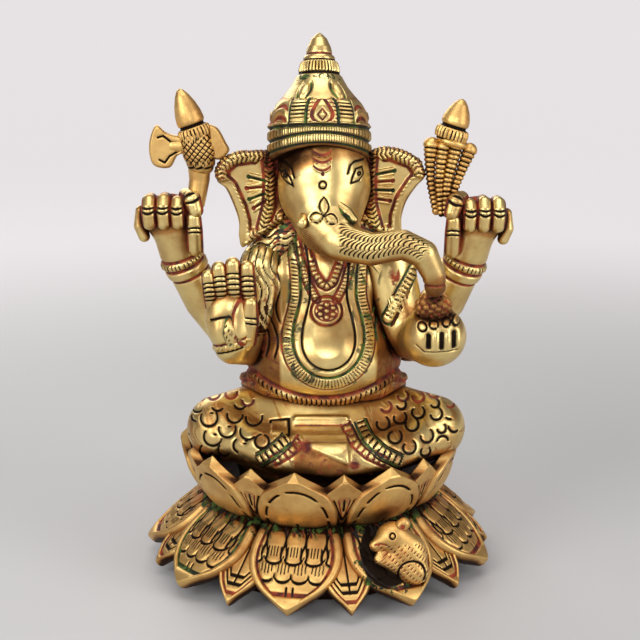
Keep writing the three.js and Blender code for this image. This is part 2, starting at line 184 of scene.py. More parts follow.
def egg(centre, radii):
    """An ellipsoid with three half-axes: near its surface the value is the distance to it."""
    centre, radii = np.array(centre, float), np.array(radii, float)

    def field(p):
        q = (p - centre) / radii
        far = np.linalg.norm(q, axis=-1)
        slope = np.linalg.norm(q / radii, axis=-1)
        return far * (far - 1) / np.maximum(slope, 1e-6)

    return field


def limb(*knots):
    """A chain of round cones through [x, y, z, radius] knots."""
    knots = np.array(knots, float)

    def field(p):
        best = np.full(p.shape[:-1], 1e6)
        for a, b in zip(knots, knots[1:]):
            d = (b - a)[:3]
            t = clamp01((p - a[:3]) @ d / (d @ d))
            far = np.linalg.norm(p - a[:3] - t[..., None] * d, axis=-1)
            best = np.minimum(best, far - mix(a[3], b[3], t))
        return best

    return field


def melt(k, *fields):
    """Fields joined with fillets of about k."""

    def field(p):
        d = fields[0](p)
        for other in fields[1:]:
            e = other(p)
            h = clamp01(0.5 + 0.5 * (e - d) / k)
            d = mix(e, d, h) - k * h * (1 - h)
        return d

    return field


def above(z, field):
    """A field cut off flat at the height z."""
    return lambda p: np.maximum(field(p), z - p[..., 2])


# ---- skins ----
STRIDES, LONGEST, SHORTEST = 70, 2.5, 0.04  # steps of a ray on its way out, and their limits
HALVINGS = 12


def curve_through(knots, count):
    """A Catmull-Rom curve through the knots at count equal steps: points, tangents and arc lengths."""
    k = np.array(knots, float)
    k = np.vstack([2 * k[0] - k[1], k, 2 * k[-1] - k[-2]])
    t = np.linspace(0, 1, 40, endpoint=False)[:, None]
    runs = []
    for p0, p1, p2, p3 in zip(k, k[1:], k[2:], k[3:]):
        runs.append(0.5 * (2 * p1 + (p2 - p0) * t + (2 * p0 - 5 * p1 + 4 * p2 - p3) * t**2
                           + (3 * p1 - p0 - 3 * p2 + p3) * t**3))
    dense = np.vstack(runs + [k[-2][None]])
    run = np.concatenate([[0], np.cumsum(np.linalg.norm(np.diff(dense, axis=0), axis=1))])
    s = np.linspace(0, run[-1], count)
    points = np.stack([np.interp(s, run, dense[:, i]) for i in range(3)], 1)
    tangents = np.gradient(points, axis=0)
    return points, tangents / np.linalg.norm(tangents, axis=1, keepdims=True), s


def unit(v):
    """v, scaled to the length 1."""
    return v / np.maximum(np.linalg.norm(v, axis=-1, keepdims=True), 1e-9)


def leave(field, start, way, reach):
    """How far each ray goes before it first leaves the field.
    It strides by the field's own depth, then halves the last stride."""
    shape = start.shape[:-1]
    start, way = start.reshape(-1, 3), way.reshape(-1, 3)
    near = np.zeros(len(start))
    far = np.full(len(start), float(reach))
    live = np.arange(len(start))
    for _ in range(STRIDES):
        depth = field(start[live] + near[live, None] * way[live])
        out = (depth >= 0) | (near[live] > reach)
        far[live[out]] = near[live[out]]
        live, depth = live[~out], depth[~out]
        if len(live) == 0:
            break
        near[live] += np.clip(-0.9 * depth, SHORTEST, LONGEST)
    near = np.maximum(far - LONGEST, 0)
    for _ in range(HALVINGS):
        half = (near + far) / 2
        inside = field(start + half[:, None] * way) < 0
        near, far = np.where(inside, half, near), np.where(inside, far, half)
    return ((near + far) / 2).reshape(shape)


class Skin:
    """A closed grid of points: rows along a spine, columns round it, and a pole at each end."""

    def __init__(self, points, centres, turn, along):
        self.points, self.turn, self.along = points, turn, along
        across = np.roll(points, -1, 1) - np.roll(points, 1, 1)
        down = np.gradient(points, axis=0)
        normal = unit(np.cross(across, down))
        if np.sum(normal * (points - centres[:, None])) < 0:
            normal = -normal
        self.normal = normal
        self.lift = np.zeros(points.shape[:2])
        self.ink = {name: np.zeros(points.shape[:2]) for name in INKS}

    @property
    def x(self):
        return self.points[..., 0]

    @property
    def y(self):
        return self.points[..., 1]

    @property
    def z(self):
        return self.points[..., 2]

    def front(self, low=0.05, high=0.35):
        """1 where the skin faces the front."""
        return smooth(low, high, -self.normal[..., 1])

    def cut(self, away, width, depth, ink="black", where=1.0, strength=1.0):
        """A chased line: a round-bottomed groove where away, the distance from the line, is near 0."""
        g = np.exp(-((away / (0.55 * width)) ** 2)) * where
        self.lift -= depth * g
        if ink:
            self.ink[ink] = np.maximum(self.ink[ink], clamp01(strength * g))

    def raise_by(self, height, mask):
        """Lift the skin by height where mask is 1."""
        self.lift += height * mask

    def paint(self, ink, mask):
        """An ink, as thick as mask says: lacquered lines, patina and tarnish, and at some places painted
        shade.
        """
        self.ink[ink] = np.maximum(self.ink[ink], clamp01(mask))

    def finished(self):
        """The points after every lift."""
        return self.points + self.normal * self.lift[..., None]


def skin(field, spine, side=(0, -1, 0), rows=80, columns=120, cap=12, reach=60, focus=0.0):
    """The first place where rays from a spine leave the field: rounds caps at the ends, rings between.
    Column 0 looks along side; focus packs the columns closer there."""
    centre, tangent, s = curve_through(spine, rows)
    lead = np.linspace(-0.5 * math.pi, 0, cap + 2)[1:-1]
    centre = np.vstack([np.repeat(centre[:1], cap, 0), centre, np.repeat(centre[-1:], cap, 0)])
    tangent = np.vstack([np.repeat(tangent[:1], cap, 0), tangent, np.repeat(tangent[-1:], cap, 0)])
    tilt = np.concatenate([lead, np.zeros(rows), -lead[::-1]])
    along = np.concatenate([np.full(cap, s[0]), s, np.full(cap, s[-1])])
    n1 = unit(np.array(side, float) - (tangent @ np.array(side, float))[:, None] * tangent)
    n2 = np.cross(tangent, n1)
    t = np.arange(columns) * 2 * math.pi / columns
    turn = t - focus * np.sin(t)
    flat = n1[:, None] * np.cos(turn)[None, :, None] + n2[:, None] * np.sin(turn)[None, :, None]
    way = flat * np.cos(tilt)[:, None, None] + tangent[:, None] * np.sin(tilt)[:, None, None]
    start = np.broadcast_to(centre[:, None], way.shape)
    points = start + leave(field, start, way, reach)[..., None] * way
    return Skin(points, centre, turn, along)


def bar(knots, **how):
    """Round cones through [x, y, z, radius] knots, skinned from their own middle line."""
    return skin(limb(*knots), [k[:3] for k in knots], **how)


def revolve(profile, rows, columns, place=None, focus=0.0):
    """A profile of [radius, height] points carried round an upright axis, then put in place."""
    profile = np.array(profile, float)
    run = np.concatenate([[0], np.cumsum(np.linalg.norm(np.diff(profile, axis=0), axis=1))])
    s = np.linspace(0, run[-1], rows)
    radius, height = np.interp(s, run, profile[:, 0]), np.interp(s, run, profile[:, 1])
    t = np.arange(columns) * 2 * math.pi / columns
    turn = t - focus * np.sin(t)
    points = np.stack([radius[:, None] * np.sin(turn), -radius[:, None] * np.cos(turn),
                       height[:, None] + 0 * turn], -1)
    centres = np.stack([0 * height, 0 * height, np.full_like(height, height.mean())], 1)
    if place is not None:
        points, centres = points @ place[:3, :3].T + place[:3, 3], centres @ place[:3, :3].T + place[:3, 3]
    return Skin(points, centres, turn, s)


def outline_rings(outline, mid, columns, rings, inmost, bevel, samples):
    """Rings that grow from mid to an outline and shrink again behind; rings counts those in front and behind.
    Gives the turn, the share of the way out, 1 in front or -1 behind, x, z, and how full the sheet is: the
    dome of the way in from the outline, counted in bevels."""
    loop, _, _ = curve_through([[a, b, 0] for a, b in outline + outline[:1]], samples)
    across, up = loop[:, 0] - mid[0], loop[:, 1] - mid[1]
    angle = np.mod(np.arctan2(up, across), 2 * math.pi)
    order = np.argsort(angle)
    t = np.arange(columns) * 2 * math.pi / columns
    edge = np.interp(t, angle[order], np.hypot(across, up)[order], period=2 * math.pi)
    front, back = rings
    rho = np.concatenate([np.linspace(inmost, 1, front), np.linspace(1, 0.05, back)])
    ahead = np.where(np.arange(front + back) < front, 1.0, -1.0)[:, None]
    x = mid[0] + rho[:, None] * edge * np.cos(t)
    z = mid[1] + rho[:, None] * edge * np.sin(t)
    return t, rho, ahead, x, z, dome(1 - clamp01((1 - rho[:, None]) * edge / bevel), 1)


# ---- meshes ----

def occlusion_shade_at(points, normals):
    """How shut in each place is: 0 in the open, 1 where there is solid metal a few millimetres ahead. The
    shader paints shade from it in hollows and where parts meet.
    """
    shut = np.zeros(len(points))
    for ahead, share in ((1.6, 0.4), (4.5, 0.6)):
        probe = points + normals * ahead
        free = np.full(len(points), ahead)
        for low, high, field in SOLIDS:
            near = np.all((probe > low - ahead) & (probe < high + ahead), axis=1)
            if near.any():
                free[near] = np.minimum(free[near], field(probe[near]))
        shut += share * clamp01(1 - free / ahead)
    return clamp01(shut)


def make_piece(name, skins, material, slot, *nodes):
    """One mesh of closed skins, each with its inks as a colour, painted shade among them, and how shut in
    each place is as a number, for painted shade in hollows.
    """
    co, lacquer_and_shade, shut, loops, starts = [], [], [], [], []
    base = loop = 0
    for s in skins:
        points = s.finished()
        rows, columns = points.shape[:2]
        inks = np.stack([s.ink[name] for name in INKS], -1).reshape(-1, 4)
        co.append(np.vstack([points.reshape(-1, 3), points[0].mean(0)[None], points[-1].mean(0)[None]]))
        lacquer_and_shade.append(np.vstack([inks, inks[:columns].mean(0)[None], inks[-columns:].mean(0)[None]]))
        # painted shade: how shut in each place is, kept with the mesh so the shader can darken hollows and
        # joins
        shade = occlusion_shade_at(s.points.reshape(-1, 3), s.normal.reshape(-1, 3))
        shut.append(np.concatenate([shade, [shade[:columns].mean(), shade[-columns:].mean()]]))
        i, j = np.meshgrid(np.arange(rows - 1), np.arange(columns), indexing="ij")
        k = (j + 1) % columns
        quads = np.stack([i * columns + j, i * columns + k, (i + 1) * columns + k, (i + 1) * columns + j], -1)
        quads = quads.reshape(-1, 4)
        first, last = rows * columns, rows * columns + 1
        j = np.arange(columns)
        k = (j + 1) % columns
        head = np.stack([np.full(columns, first), k, j], -1)
        tail = np.stack([np.full(columns, last), (rows - 1) * columns + j, (rows - 1) * columns + k], -1)
        mid = rows // 2
        a, b, c = points[mid, 0], points[mid, 1], points[mid + 1, 1]
        if np.dot(np.cross(b - a, c - a), s.normal[mid, 0]) < 0:
            quads, head, tail = quads[:, ::-1], head[:, ::-1], tail[:, ::-1]
        for faces in (quads, head, tail):
            loops.append((faces + base).ravel())
            starts.append(loop + np.arange(len(faces)) * faces.shape[1])
            loop += faces.size
        base += rows * columns + 2
    co, lacquer_and_shade = np.vstack(co), np.vstack(lacquer_and_shade)
    loops, starts = np.concatenate(loops), np.concatenate(starts)
    mesh = bpy.data.meshes.new(name)
    mesh.vertices.add(len(co))
    mesh.vertices.foreach_set("co", ((co + AXIS) * MM).astype(np.float32).ravel())
    mesh.loops.add(len(loops))
    mesh.loops.foreach_set("vertex_index", loops.astype(np.int32))
    mesh.polygons.add(len(starts))
    mesh.polygons.foreach_set("loop_start", starts.astype(np.int32))
    mesh.polygons.foreach_set("use_smooth", np.ones(len(starts), bool))
    mesh.update(calc_edges=True)
    colour = mesh.attributes.new("lacquer_and_shade", "FLOAT_COLOR", "POINT")
    colour.data.foreach_set("color", lacquer_and_shade.astype(np.float32).ravel())
    shade = mesh.attributes.new("occlusion_shade", "FLOAT", "POINT")
    shade.data.foreach_set("value", np.concatenate(shut).astype(np.float32))
    piece = bpy.data.objects.new(name, mesh)
    bpy.context.scene.collection.objects.link(piece)
    mesh.materials.append(material)
    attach(piece, "root")
    if nodes:
        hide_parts(*nodes)
    return piece


# ---- materials ----

def plain_paint(name, colour, roughness):
    """One colour and one roughness all over."""
    material = bpy.data.materials.new(name)
    material.use_nodes = True
    shader = material.node_tree.nodes["Principled BSDF"]
    shader.inputs["Base Color"].default_value = (*colour, 1)
    shader.inputs["Roughness"].default_value = roughness
    return material


class Graph:
    """A node tree with short words for placing and wiring its nodes."""

    def __init__(self, tree):
        self.tree = tree

    def node(self, kind, **settings):
        made = self.tree.nodes.new("ShaderNode" + kind)
        for name, value in settings.items():
            setattr(made, name, value)
        return made

    def wire(self, value, socket):
        if isinstance(value, bpy.types.NodeSocket):
            self.tree.links.new(value, socket)
        elif value is not None:
            socket.default_value = value

    def maths(self, operation, a, b=None, c=None, clamp=False):
        made = self.node("Math", operation=operation, use_clamp=clamp)
        for value, socket in zip((a, b, c), made.inputs):
            self.wire(value, socket)
        return made.outputs[0]

    def blend(self, share, a, b):
        made = self.node("Mix", data_type="RGBA")
        self.wire(share, made.inputs["Factor"])
        self.wire(a, made.inputs["A"])
        self.wire(b, made.inputs["B"])
        return made.outputs["Result"]

    def ramp(self, value, low, high):
        """0 below low, 1 above high."""
        made = self.node("MapRange", clamp=True)
        self.wire(value, made.inputs["Value"])
        made.inputs["From Min"].default_value = low
        made.inputs["From Max"].default_value = high
        return made.outputs["Result"]

    def noise(self, place, scale, detail=3.0, rough=0.55):
        made = self.node("TexNoise")
        self.wire(place, made.inputs["Vector"])
        made.inputs["Scale"].default_value = scale
        made.inputs["Detail"].default_value = detail
        made.inputs["Roughness"].default_value = rough
        return made.outputs["Fac"]


def brass_group():
    """Polished brass with tarnish, darkened by painted shade in its hollows and where parts meet, with its
    chased lines lacquered.
    The colour attribute holds black, red, green and tarnish as red, green, blue and alpha; black and the
    alpha also carry painted shade in places."""
    tree = bpy.data.node_groups.new("antiqued_brass", "ShaderNodeTree")
    for name, way, kind in (("Bright", "INPUT", "Color"), ("Deep", "INPUT", "Color"),
                            ("Tarnish", "INPUT", "Float"), ("Polish", "INPUT", "Float"),
                            ("Color", "OUTPUT", "Color"), ("Roughness", "OUTPUT", "Float"),
                            ("Metallic", "OUTPUT", "Float"), ("Height", "OUTPUT", "Float")):
        tree.interface.new_socket(name, in_out=way, socket_type="NodeSocket" + kind)
    g = Graph(tree)
    given = tree.nodes.new("NodeGroupInput")
    out = tree.nodes.new("NodeGroupOutput")
    place = g.node("TexCoord").outputs["Object"]
    lacquer_and_shade = g.node("Attribute", attribute_name="lacquer_and_shade")
    split = g.node("SeparateColor")
    g.wire(lacquer_and_shade.outputs["Color"], split.inputs[0])
    black, red, green = split.outputs
    # the alpha is tarnish, and painted shade where it was laid for shade
    tarnish = lacquer_and_shade.outputs["Alpha"]
    broad = g.noise(place, 70)
    cloud = g.noise(place, 260, 4, 0.6)
    grain = g.noise(place, 1500, 4, 0.65)
    patch = g.maths("MULTIPLY", g.ramp(broad, 0.42, 0.68), given.outputs["Tarnish"])
    patch = g.maths("MULTIPLY_ADD", g.ramp(cloud, 0.5, 0.75),
                    g.maths("MULTIPLY", given.outputs["Tarnish"], 0.5), patch)
    # painted shade: how shut in each place is, broken up by the cloud noise
    hollow_shade = g.node("Attribute", attribute_name="occlusion_shade").outputs["Fac"]
    ragged = g.maths("MULTIPLY_ADD", cloud, 0.7, 0.65)
    hollow_shade = g.maths("MULTIPLY", hollow_shade, ragged)
    patch = g.maths("ADD", patch, tarnish)
    # where the alpha is high, tarnish and painted shade both turn dark brown
    heavy_tarnish_and_shade = g.ramp(g.maths("ADD", g.maths("MULTIPLY", tarnish, ragged), g.maths("MULTIPLY", broad, 0.5)),
                   0.95, 1.5)
    # painted shade: shut-in places turn to the deep tone, and the most shut-in to near black
    patch = g.maths("ADD", patch, g.ramp(hollow_shade, 0.08, 0.4), clamp=True)
    metal = g.blend(patch, given.outputs["Bright"], given.outputs["Deep"])
    metal = g.blend(heavy_tarnish_and_shade, metal, (0.15, 0.058, 0.020, 1))
    metal = g.blend(g.ramp(hollow_shade, 0.38, 0.75), metal, (0.045, 0.018, 0.008, 1))
    ragged = g.maths("MULTIPLY_ADD", grain, 0.5, 0.75)
    red_in = g.ramp(g.maths("MULTIPLY", red, ragged), 0.25, 0.55)
    green_in = g.ramp(g.maths("MULTIPLY", green, ragged), 0.25, 0.55)
    black_in = g.ramp(g.maths("MULTIPLY", black, ragged), 0.25, 0.6)
    maroon = g.blend(g.ramp(cloud, 0.42, 0.62), (0.085, 0.010, 0.006, 1), (0.34, 0.055, 0.015, 1))
    moss = g.blend(g.ramp(cloud, 0.45, 0.66), (0.010, 0.018, 0.005, 1), (0.09, 0.17, 0.022, 1))
    colour = g.blend(red_in, metal, maroon)
    colour = g.blend(green_in, colour, moss)
    colour = g.blend(black_in, colour, (0.016, 0.010, 0.007, 1))
    over = g.maths("MAXIMUM", g.maths("MAXIMUM", red_in, green_in), black_in)
    rough = g.maths("MULTIPLY_ADD", cloud, 0.14, given.outputs["Polish"])
    rough = g.maths("MULTIPLY_ADD", patch, 0.10, rough)
    rough = g.maths("MULTIPLY_ADD", heavy_tarnish_and_shade, 0.16, rough)
    rough = g.maths("MULTIPLY_ADD", over, 0.22, rough, clamp=True)
    g.wire(colour, out.inputs["Color"])
    g.wire(rough, out.inputs["Roughness"])
    g.wire(g.maths("MULTIPLY_ADD", g.maths("MAXIMUM", red_in, green_in), -0.55, 1.0), out.inputs["Metallic"])
    height = g.maths("MULTIPLY_ADD", grain, 0.35, g.maths("MULTIPLY", cloud, 0.8))
    g.wire(height, out.inputs["Height"])
    return tree


def brass(name, group, bright, deep, tarnish, polish, bump=0.00012):
    """A metal that takes its colour, roughness and fine relief from the group; bump is in metres."""
    material = bpy.data.materials.new(name)
    material.use_nodes = True
    g = Graph(material.node_tree)
    shader = material.node_tree.nodes["Principled BSDF"]
    coat = g.node("Group")
    coat.node_tree = group
    coat.inputs["Bright"].default_value = (*bright, 1)
    coat.inputs["Deep"].default_value = (*deep, 1)
    coat.inputs["Tarnish"].default_value = tarnish
    coat.inputs["Polish"].default_value = polish
    relief = g.node("Bump")
    relief.inputs["Distance"].default_value = bump
    relief.inputs["Strength"].default_value = 0.6
    g.wire(coat.outputs["Height"], relief.inputs["Height"])
    g.wire(coat.outputs["Color"], shader.inputs["Base Color"])
    g.wire(coat.outputs["Roughness"], shader.inputs["Roughness"])
    g.wire(coat.outputs["Metallic"], shader.inputs["Metallic"])
    g.wire(relief.outputs["Normal"], shader.inputs["Normal"])
    return material


COAT = brass_group()
POLISHED = brass("polished_brass", COAT, (0.79, 0.61, 0.25), (0.40, 0.19, 0.055), 0.5, 0.26)
ANTIQUE = brass("antique_brass", COAT, (0.76, 0.50, 0.175), (0.42, 0.20, 0.06), 0.6, 0.36)


# ---- distances to chased lines ----

def to_line(u, v, points):
    """Distance from (u, v) to a chain of straight strokes."""
    best = np.full(np.shape(u), 1e6)
    for (a, b), (c, d) in zip(points, points[1:]):
        t = clamp01(((u - a) * (c - a) + (v - b) * (d - b)) / ((c - a) ** 2 + (d - b) ** 2))
        best = np.minimum(best, np.hypot(u - a - t * (c - a), v - b - t * (d - b)))
    return best


def ribs(s, pitch):
    """1 on the crown of each rib and 0 in the gap between two, along s."""
    return 0.5 + 0.5 * np.cos(2 * math.pi * s / pitch)


def band(d, low, high, soft=0.3):
    """1 where d is between low and high."""
    return smooth(low - soft, low + soft, d) * smooth(high + soft, high - soft, d)


def along_line(u, v, points):
    """Distance from (u, v) to a chain of straight strokes, and how far along it the nearest place is."""
    best, run = np.full(np.shape(u), 1e6), np.zeros(np.shape(u))
    done = 0.0
    for (a, b), (c, d) in zip(points, points[1:]):
        length = math.hypot(c - a, d - b)
        t = clamp01(((u - a) * (c - a) + (v - b) * (d - b)) / length**2)
        far = np.hypot(u - a - t * (c - a), v - b - t * (d - b))
        run = np.where(far < best, done + t * length, run)
        best = np.minimum(best, far)
        done += length
    return best, run


def patch(s, x, z, size=12):
    """The skin seen square-on where its front lies over (x, z): right and up in the plane that touches it
    there, and 1 near that place."""
    gap = (s.x - x) ** 2 + (s.z - z) ** 2 + np.where(s.normal[..., 1] < 0.15, 0, 400)
    at = np.unravel_index(np.argmin(gap), gap.shape)
    c, n = s.points[at], s.normal[at]
    right = unit(np.cross([0, 0, 1.0], n))
    up = np.cross(n, right)
    from_c = s.points - c
    near = (np.linalg.norm(from_c, axis=-1) < size) & (s.normal @ n > 0.1)
    return from_c @ right, from_c @ up, near * 1.0


def curl(s, x, z, radius, start, sweep, close=0.45, width=1.1, depth=0.45, ink="black"):
    """A chased comma: a groove that starts at the angle start, turns by sweep and closes in as it goes,
    broad in its middle and fine at both ends."""
    u, v, near = seen_from_above(s, x, z)
    way = 1 if sweep > 0 else -1
    gone = np.mod((np.degrees(np.arctan2(v, u)) - start) * way, 360) / abs(sweep)
    r = radius * (1 - close * clamp01(gone))
    broad = width * (0.45 + 0.75 * np.sin(math.pi * clamp01(0.15 + 0.7 * gone)))
    g = np.exp(-(((np.hypot(u, v) - r) / (0.55 * broad)) ** 2)) * (gone < 1) * near
    s.lift -= depth * g
    s.ink[ink] = np.maximum(s.ink[ink], g)


SLANT = math.radians(20)


def seen_from_above(s, x, v):
    """Right and up from (x, v) in a plane that leans back by SLANT, and 1 where the skin faces it."""
    lean = s.y * math.sin(SLANT) + s.z * math.cos(SLANT)
    faces = s.normal @ np.array([0, -math.cos(SLANT), math.sin(SLANT)])
    return s.x - x, lean - v, smooth(0.05, 0.2, faces) * (s.y < 5)


def dot(s, x, z, radius, height, ink=None, ring=None):
    """A raised pearl, or a sunk one where height is negative, with an optional lacquered ring round it."""
    u, v, near = patch(s, x, z)
    r = np.hypot(u, v)
    s.lift += height * dome(r, radius) * near
    if ink:
        s.paint(ink, smooth(radius * 1.15, radius * 0.85, r) * near)
    if ring:
        s.cut(np.abs(r - radius - 0.3), 0.7, 0.3, ring, near)


def mottle(points, size, seed=0.0):
    """Broken patches about size across, from -1 to 1: five waves, each bent by the one before."""
    value = np.zeros(points.shape[:-1])
    for k in range(5):
        way = np.array([math.sin(k * 2.1 + seed), math.cos(k * 1.3 + seed * 2), math.sin(k * 0.7 + 1 + seed)])
        value = value + np.sin(points @ way * (3.1 + k) / size + 2.4 * value + k + seed)
    return value / 3.2


def smooth_row(knots):
    """A smooth function of its first number through [place, value] knots."""
    points, _, _ = curve_through([[a, b, 0] for a, b in knots], 300)
    return lambda t: np.interp(t, points[:, 0], points[:, 1])


def rail(knots, count=200):
    """A smooth line through [radius, height] knots, as a function of the share of its length."""
    points, _, _ = curve_through([[r, z, 0] for r, z in knots], count)
    return lambda t: [np.interp(t, np.linspace(0, 1, count), points[:, i]) for i in (0, 1)]


# ---- lotus ----
PETALS = 9
PITCH = 2 * math.pi / PETALS
FIRST = math.radians(-10)
TOP, UNDER = 82, 14  # columns over a petal's face and back under it
SHEET = np.concatenate([np.linspace(1, -1, TOP), np.linspace(-1, 1, UNDER + 2)[1:-1]])
ROLL = 1.4  # how far in a petal's rounded rim reaches


def petal(turn, half, length, place, thick, crown, chase, rows=96, outward=False, bevel=0.0):
    """A thick leaf in one closed skin: rows run from root to tip, and a column is a place across it.
    half gives the half-width and place the middle line as (radius, height), both for a share t of the length.
    The face stands thick/2 times the dome of the distance from the edge above that line, and with a bevel it
    rises as a straight slope that wide; crown bends the leaf down by crown times a^2, a being the distance
    from its middle line, and outward means that its face looks away from the axis instead of up."""
    t = 0.5 - 0.5 * np.cos(np.linspace(0.0, 1, rows) * math.pi)
    t = mix(t, np.linspace(0, 1, rows), 0.6)
    s = np.broadcast_to(SHEET, (rows, len(SHEET)))
    top = (np.arange(len(SHEET)) < TOP)[None]
    t2 = t[:, None] + 0 * s
    wide = np.maximum(half(t), 0.02)[:, None]
    a = s * wide
    body = np.minimum((wide - np.abs(a)) / ROLL, (1 - t2) * length / ROLL)
    plump = dome(1 - clamp01(body), 1)
    r, z = place(t)
    slope = unit(np.stack([np.gradient(r), np.gradient(z)], 1))
    up_r, up_z = -slope[:, 1], slope[:, 0]
    if np.mean(up_r if outward else up_z) < 0:
        up_r, up_z = -up_r, -up_z
    side = np.where(top, 0.5, -0.5) * thick * plump
    if bevel:
        cut = clamp01((np.minimum(wide - np.abs(a), (1 - t2) * length * 0.75) + 0.15) / bevel)
        side = np.where(top, thick * (cut - 0.5), -0.5 * thick)
    leaf = Leaf(a, t2 * length, wide, length, turn)
    lift = chase(leaf) * top
    height = side + lift * (cut if bevel else plump)
    droop = crown * a**2
    r = r[:, None] + up_r[:, None] * (height - droop)
    z = z[:, None] + up_z[:, None] * (height - droop)
    ang = turn + a / np.maximum(r, 20)
    points = np.stack([r * np.sin(ang), -r * np.cos(ang), z], -1)
    made = Skin(points, points.mean(1), SHEET, t)
    for name, mask in leaf.ink.items():
        made.ink[name] = mask * top
    return made


class Leaf:
    """What a petal's chasing works in: a across, b along, edge the way in from the rim, and the inks."""

    def __init__(self, a, b, wide, length, turn):
        self.a, self.b, self.length, self.turn = a, b, length, turn
        self.edge = np.minimum(wide - np.abs(a), (length - b) * 0.62)
        self.ink = {name: np.zeros(a.shape) for name in INKS}

    def cut(self, away, width, depth, ink="black", where=1.0, strength=1.0):
        """The lift of a chased line where away is near 0; its lacquer is laid at once."""
        g = np.exp(-((away / (0.55 * width)) ** 2)) * where
        self.ink[ink] = np.maximum(self.ink[ink], clamp01(g * strength))
        return -depth * g


def skirt_large(ink):
    """A thick rolled rim round a field of long tongues with strokes at their feet, then a row of scales,
    slanting strokes at the root and two short ones at the tip; ink tints the field."""

    def chase(leaf):
        a, b, edge = leaf.a, leaf.b, leaf.edge
        lift = 1.1 * dome(edge - 1.7, 1.9)
        field = smooth(3.6, 4.2, edge)
        lift = lift + leaf.cut(np.abs(edge - 3.9), 1.0, 0.6, "green" if ink == "green" else "red")
        for pitch, head, foot, depth, shift, strokes in ((7.4, -3.0, 17.5, 3.2, 0.5, 5),
                                                         (6.2, 17.0, 23.6, 2.4, 0.0, 4)):
            cell = np.mod(a / pitch + shift, 1) - 0.5
            round_foot = foot - depth * (1 - dome(2 * cell, 1))
            inside = field * smooth(head - 0.3, head + 0.3, b) * smooth(round_foot + 0.3, round_foot - 0.3, b)
            lift = lift + leaf.cut(np.abs(b - round_foot), 0.95, 0.5, "black", field * (b > head))
            sway = (np.abs(cell) - 0.5 + 0.07 * (1 + np.sin(b * 0.55)) * (shift > 0)) * pitch
            lift = lift + leaf.cut(np.abs(sway), 0.8, 0.45, "black", inside * smooth(head + 2, head + 5, b))
            for k in range(strokes):
                at = (k - (strokes - 1) / 2) * 0.62 / (strokes - 1)
                reach = band(b, foot - 6.6, foot - 2.4 - 8 * at * at, 0.4)
                lift = lift + leaf.cut((cell - at) * pitch, 0.55, 0.3, "black", inside * reach, 0.85)
            lift = lift + 0.5 * dome(2 * cell, 1) * inside
        for x in (-4.4, -1.6, 1.8, 4.6):
            slash = a - x - 0.35 * (b - 5)
            lift = lift + leaf.cut(slash, 0.8, 0.35, "red", field * band(b, 3.2, 7.2, 0.4), 0.9)
        for x in (-1.1, 1.3):
            lift = lift + leaf.cut(np.hypot(a - x, np.maximum(np.abs(b - 26.6) - 1.4, 0)), 0.8, 0.4)
        leaf.ink["tarnish_and_shade"] = 0.45 * smooth(30, 5, b) + 0 * a
        if ink:
            streak = 0.5 + 0.5 * np.sin(a * 1.7 + np.sin(b * 0.6) * 2)
            leaf.ink[ink] = np.maximum(leaf.ink[ink], field * (0.18 + 0.26 * streak) * smooth(28, 10, b))
        return lift

    return chase


def skirt_small(leaf):
    """A rolled rim, a middle vein and strokes that follow the edge inwards."""
    a, b, edge = leaf.a, leaf.b, leaf.edge
    lift = 0.7 * dome(edge - 1.0, 1.3)
    for ring in (2.5, 4.3, 6.0):
        lift = lift + leaf.cut(np.abs(edge - ring), 0.75, 0.4, "black" if ring > 3 else "red",
                               smooth(2, 6, b))
    leaf.ink["tarnish_and_shade"] = 0.8 * smooth(24, 8, b)
    return lift + leaf.cut(np.abs(a), 0.7, 0.35, "black", smooth(leaf.length - 5, leaf.length - 8, b))


def bowl_large(leaf):
    """A swelling field, a broken round arch in its upper part, fine strokes and a nick below."""
    a, b, edge = leaf.a, leaf.b, leaf.edge
    lift = 0.6 * smooth(4.4, 9.5, edge)
    arch = np.hypot(a / 0.98, np.maximum(b - 9.5, 0) / 1.02) - 11.6
    broken = smooth(-0.85, -0.6, np.sin(b * 0.9 + a * 0.25))
    lift = lift + leaf.cut(np.abs(arch), 0.95, 0.55, "black", broken * (b > 3))
    strokes = 0.6 * smooth(0.0, 0.6, np.sin(a * 0.7 + leaf.turn * 5) + np.sin(b * 1.1 + leaf.turn * 9))
    lift = lift + leaf.cut(np.mod(a + 0.2 * b, 1.2) - 0.6, 0.45, 0.2, "black",
                           strokes * band(b, 3, 8.5, 0.8) * smooth(-1, -2.5, arch))
    return lift + leaf.cut(np.hypot(a, np.maximum(np.abs(b - 5.0) - 1.5, 0)), 0.8, 0.4)


def bowl_small(leaf):
    """A pointed V from the tip down to the neck with a stroke inside it."""
    a, b = leaf.a, leaf.b
    lift = leaf.cut(np.abs(np.abs(a) - 0.40 * (b - 7.5)), 1.1, 0.6, "black", band(b, 7, 17.5, 0.5))
    for x in (-1.6, 1.6):
        lift = lift + leaf.cut(np.abs(a - x * (b - 8) / 7), 0.7, 0.35, "red", band(b, 11, 17.5, 0.5), 0.8)
    lift = lift + leaf.cut(np.hypot(a, np.maximum(np.abs(b - 15.0) - 2.2, 0)), 0.9, 0.5)
    leaf.ink["red"] = np.maximum(leaf.ink["red"], 0.4 * band(b, 15.5, 19, 0.8) * smooth(3, 2, np.abs(a)))
    return lift


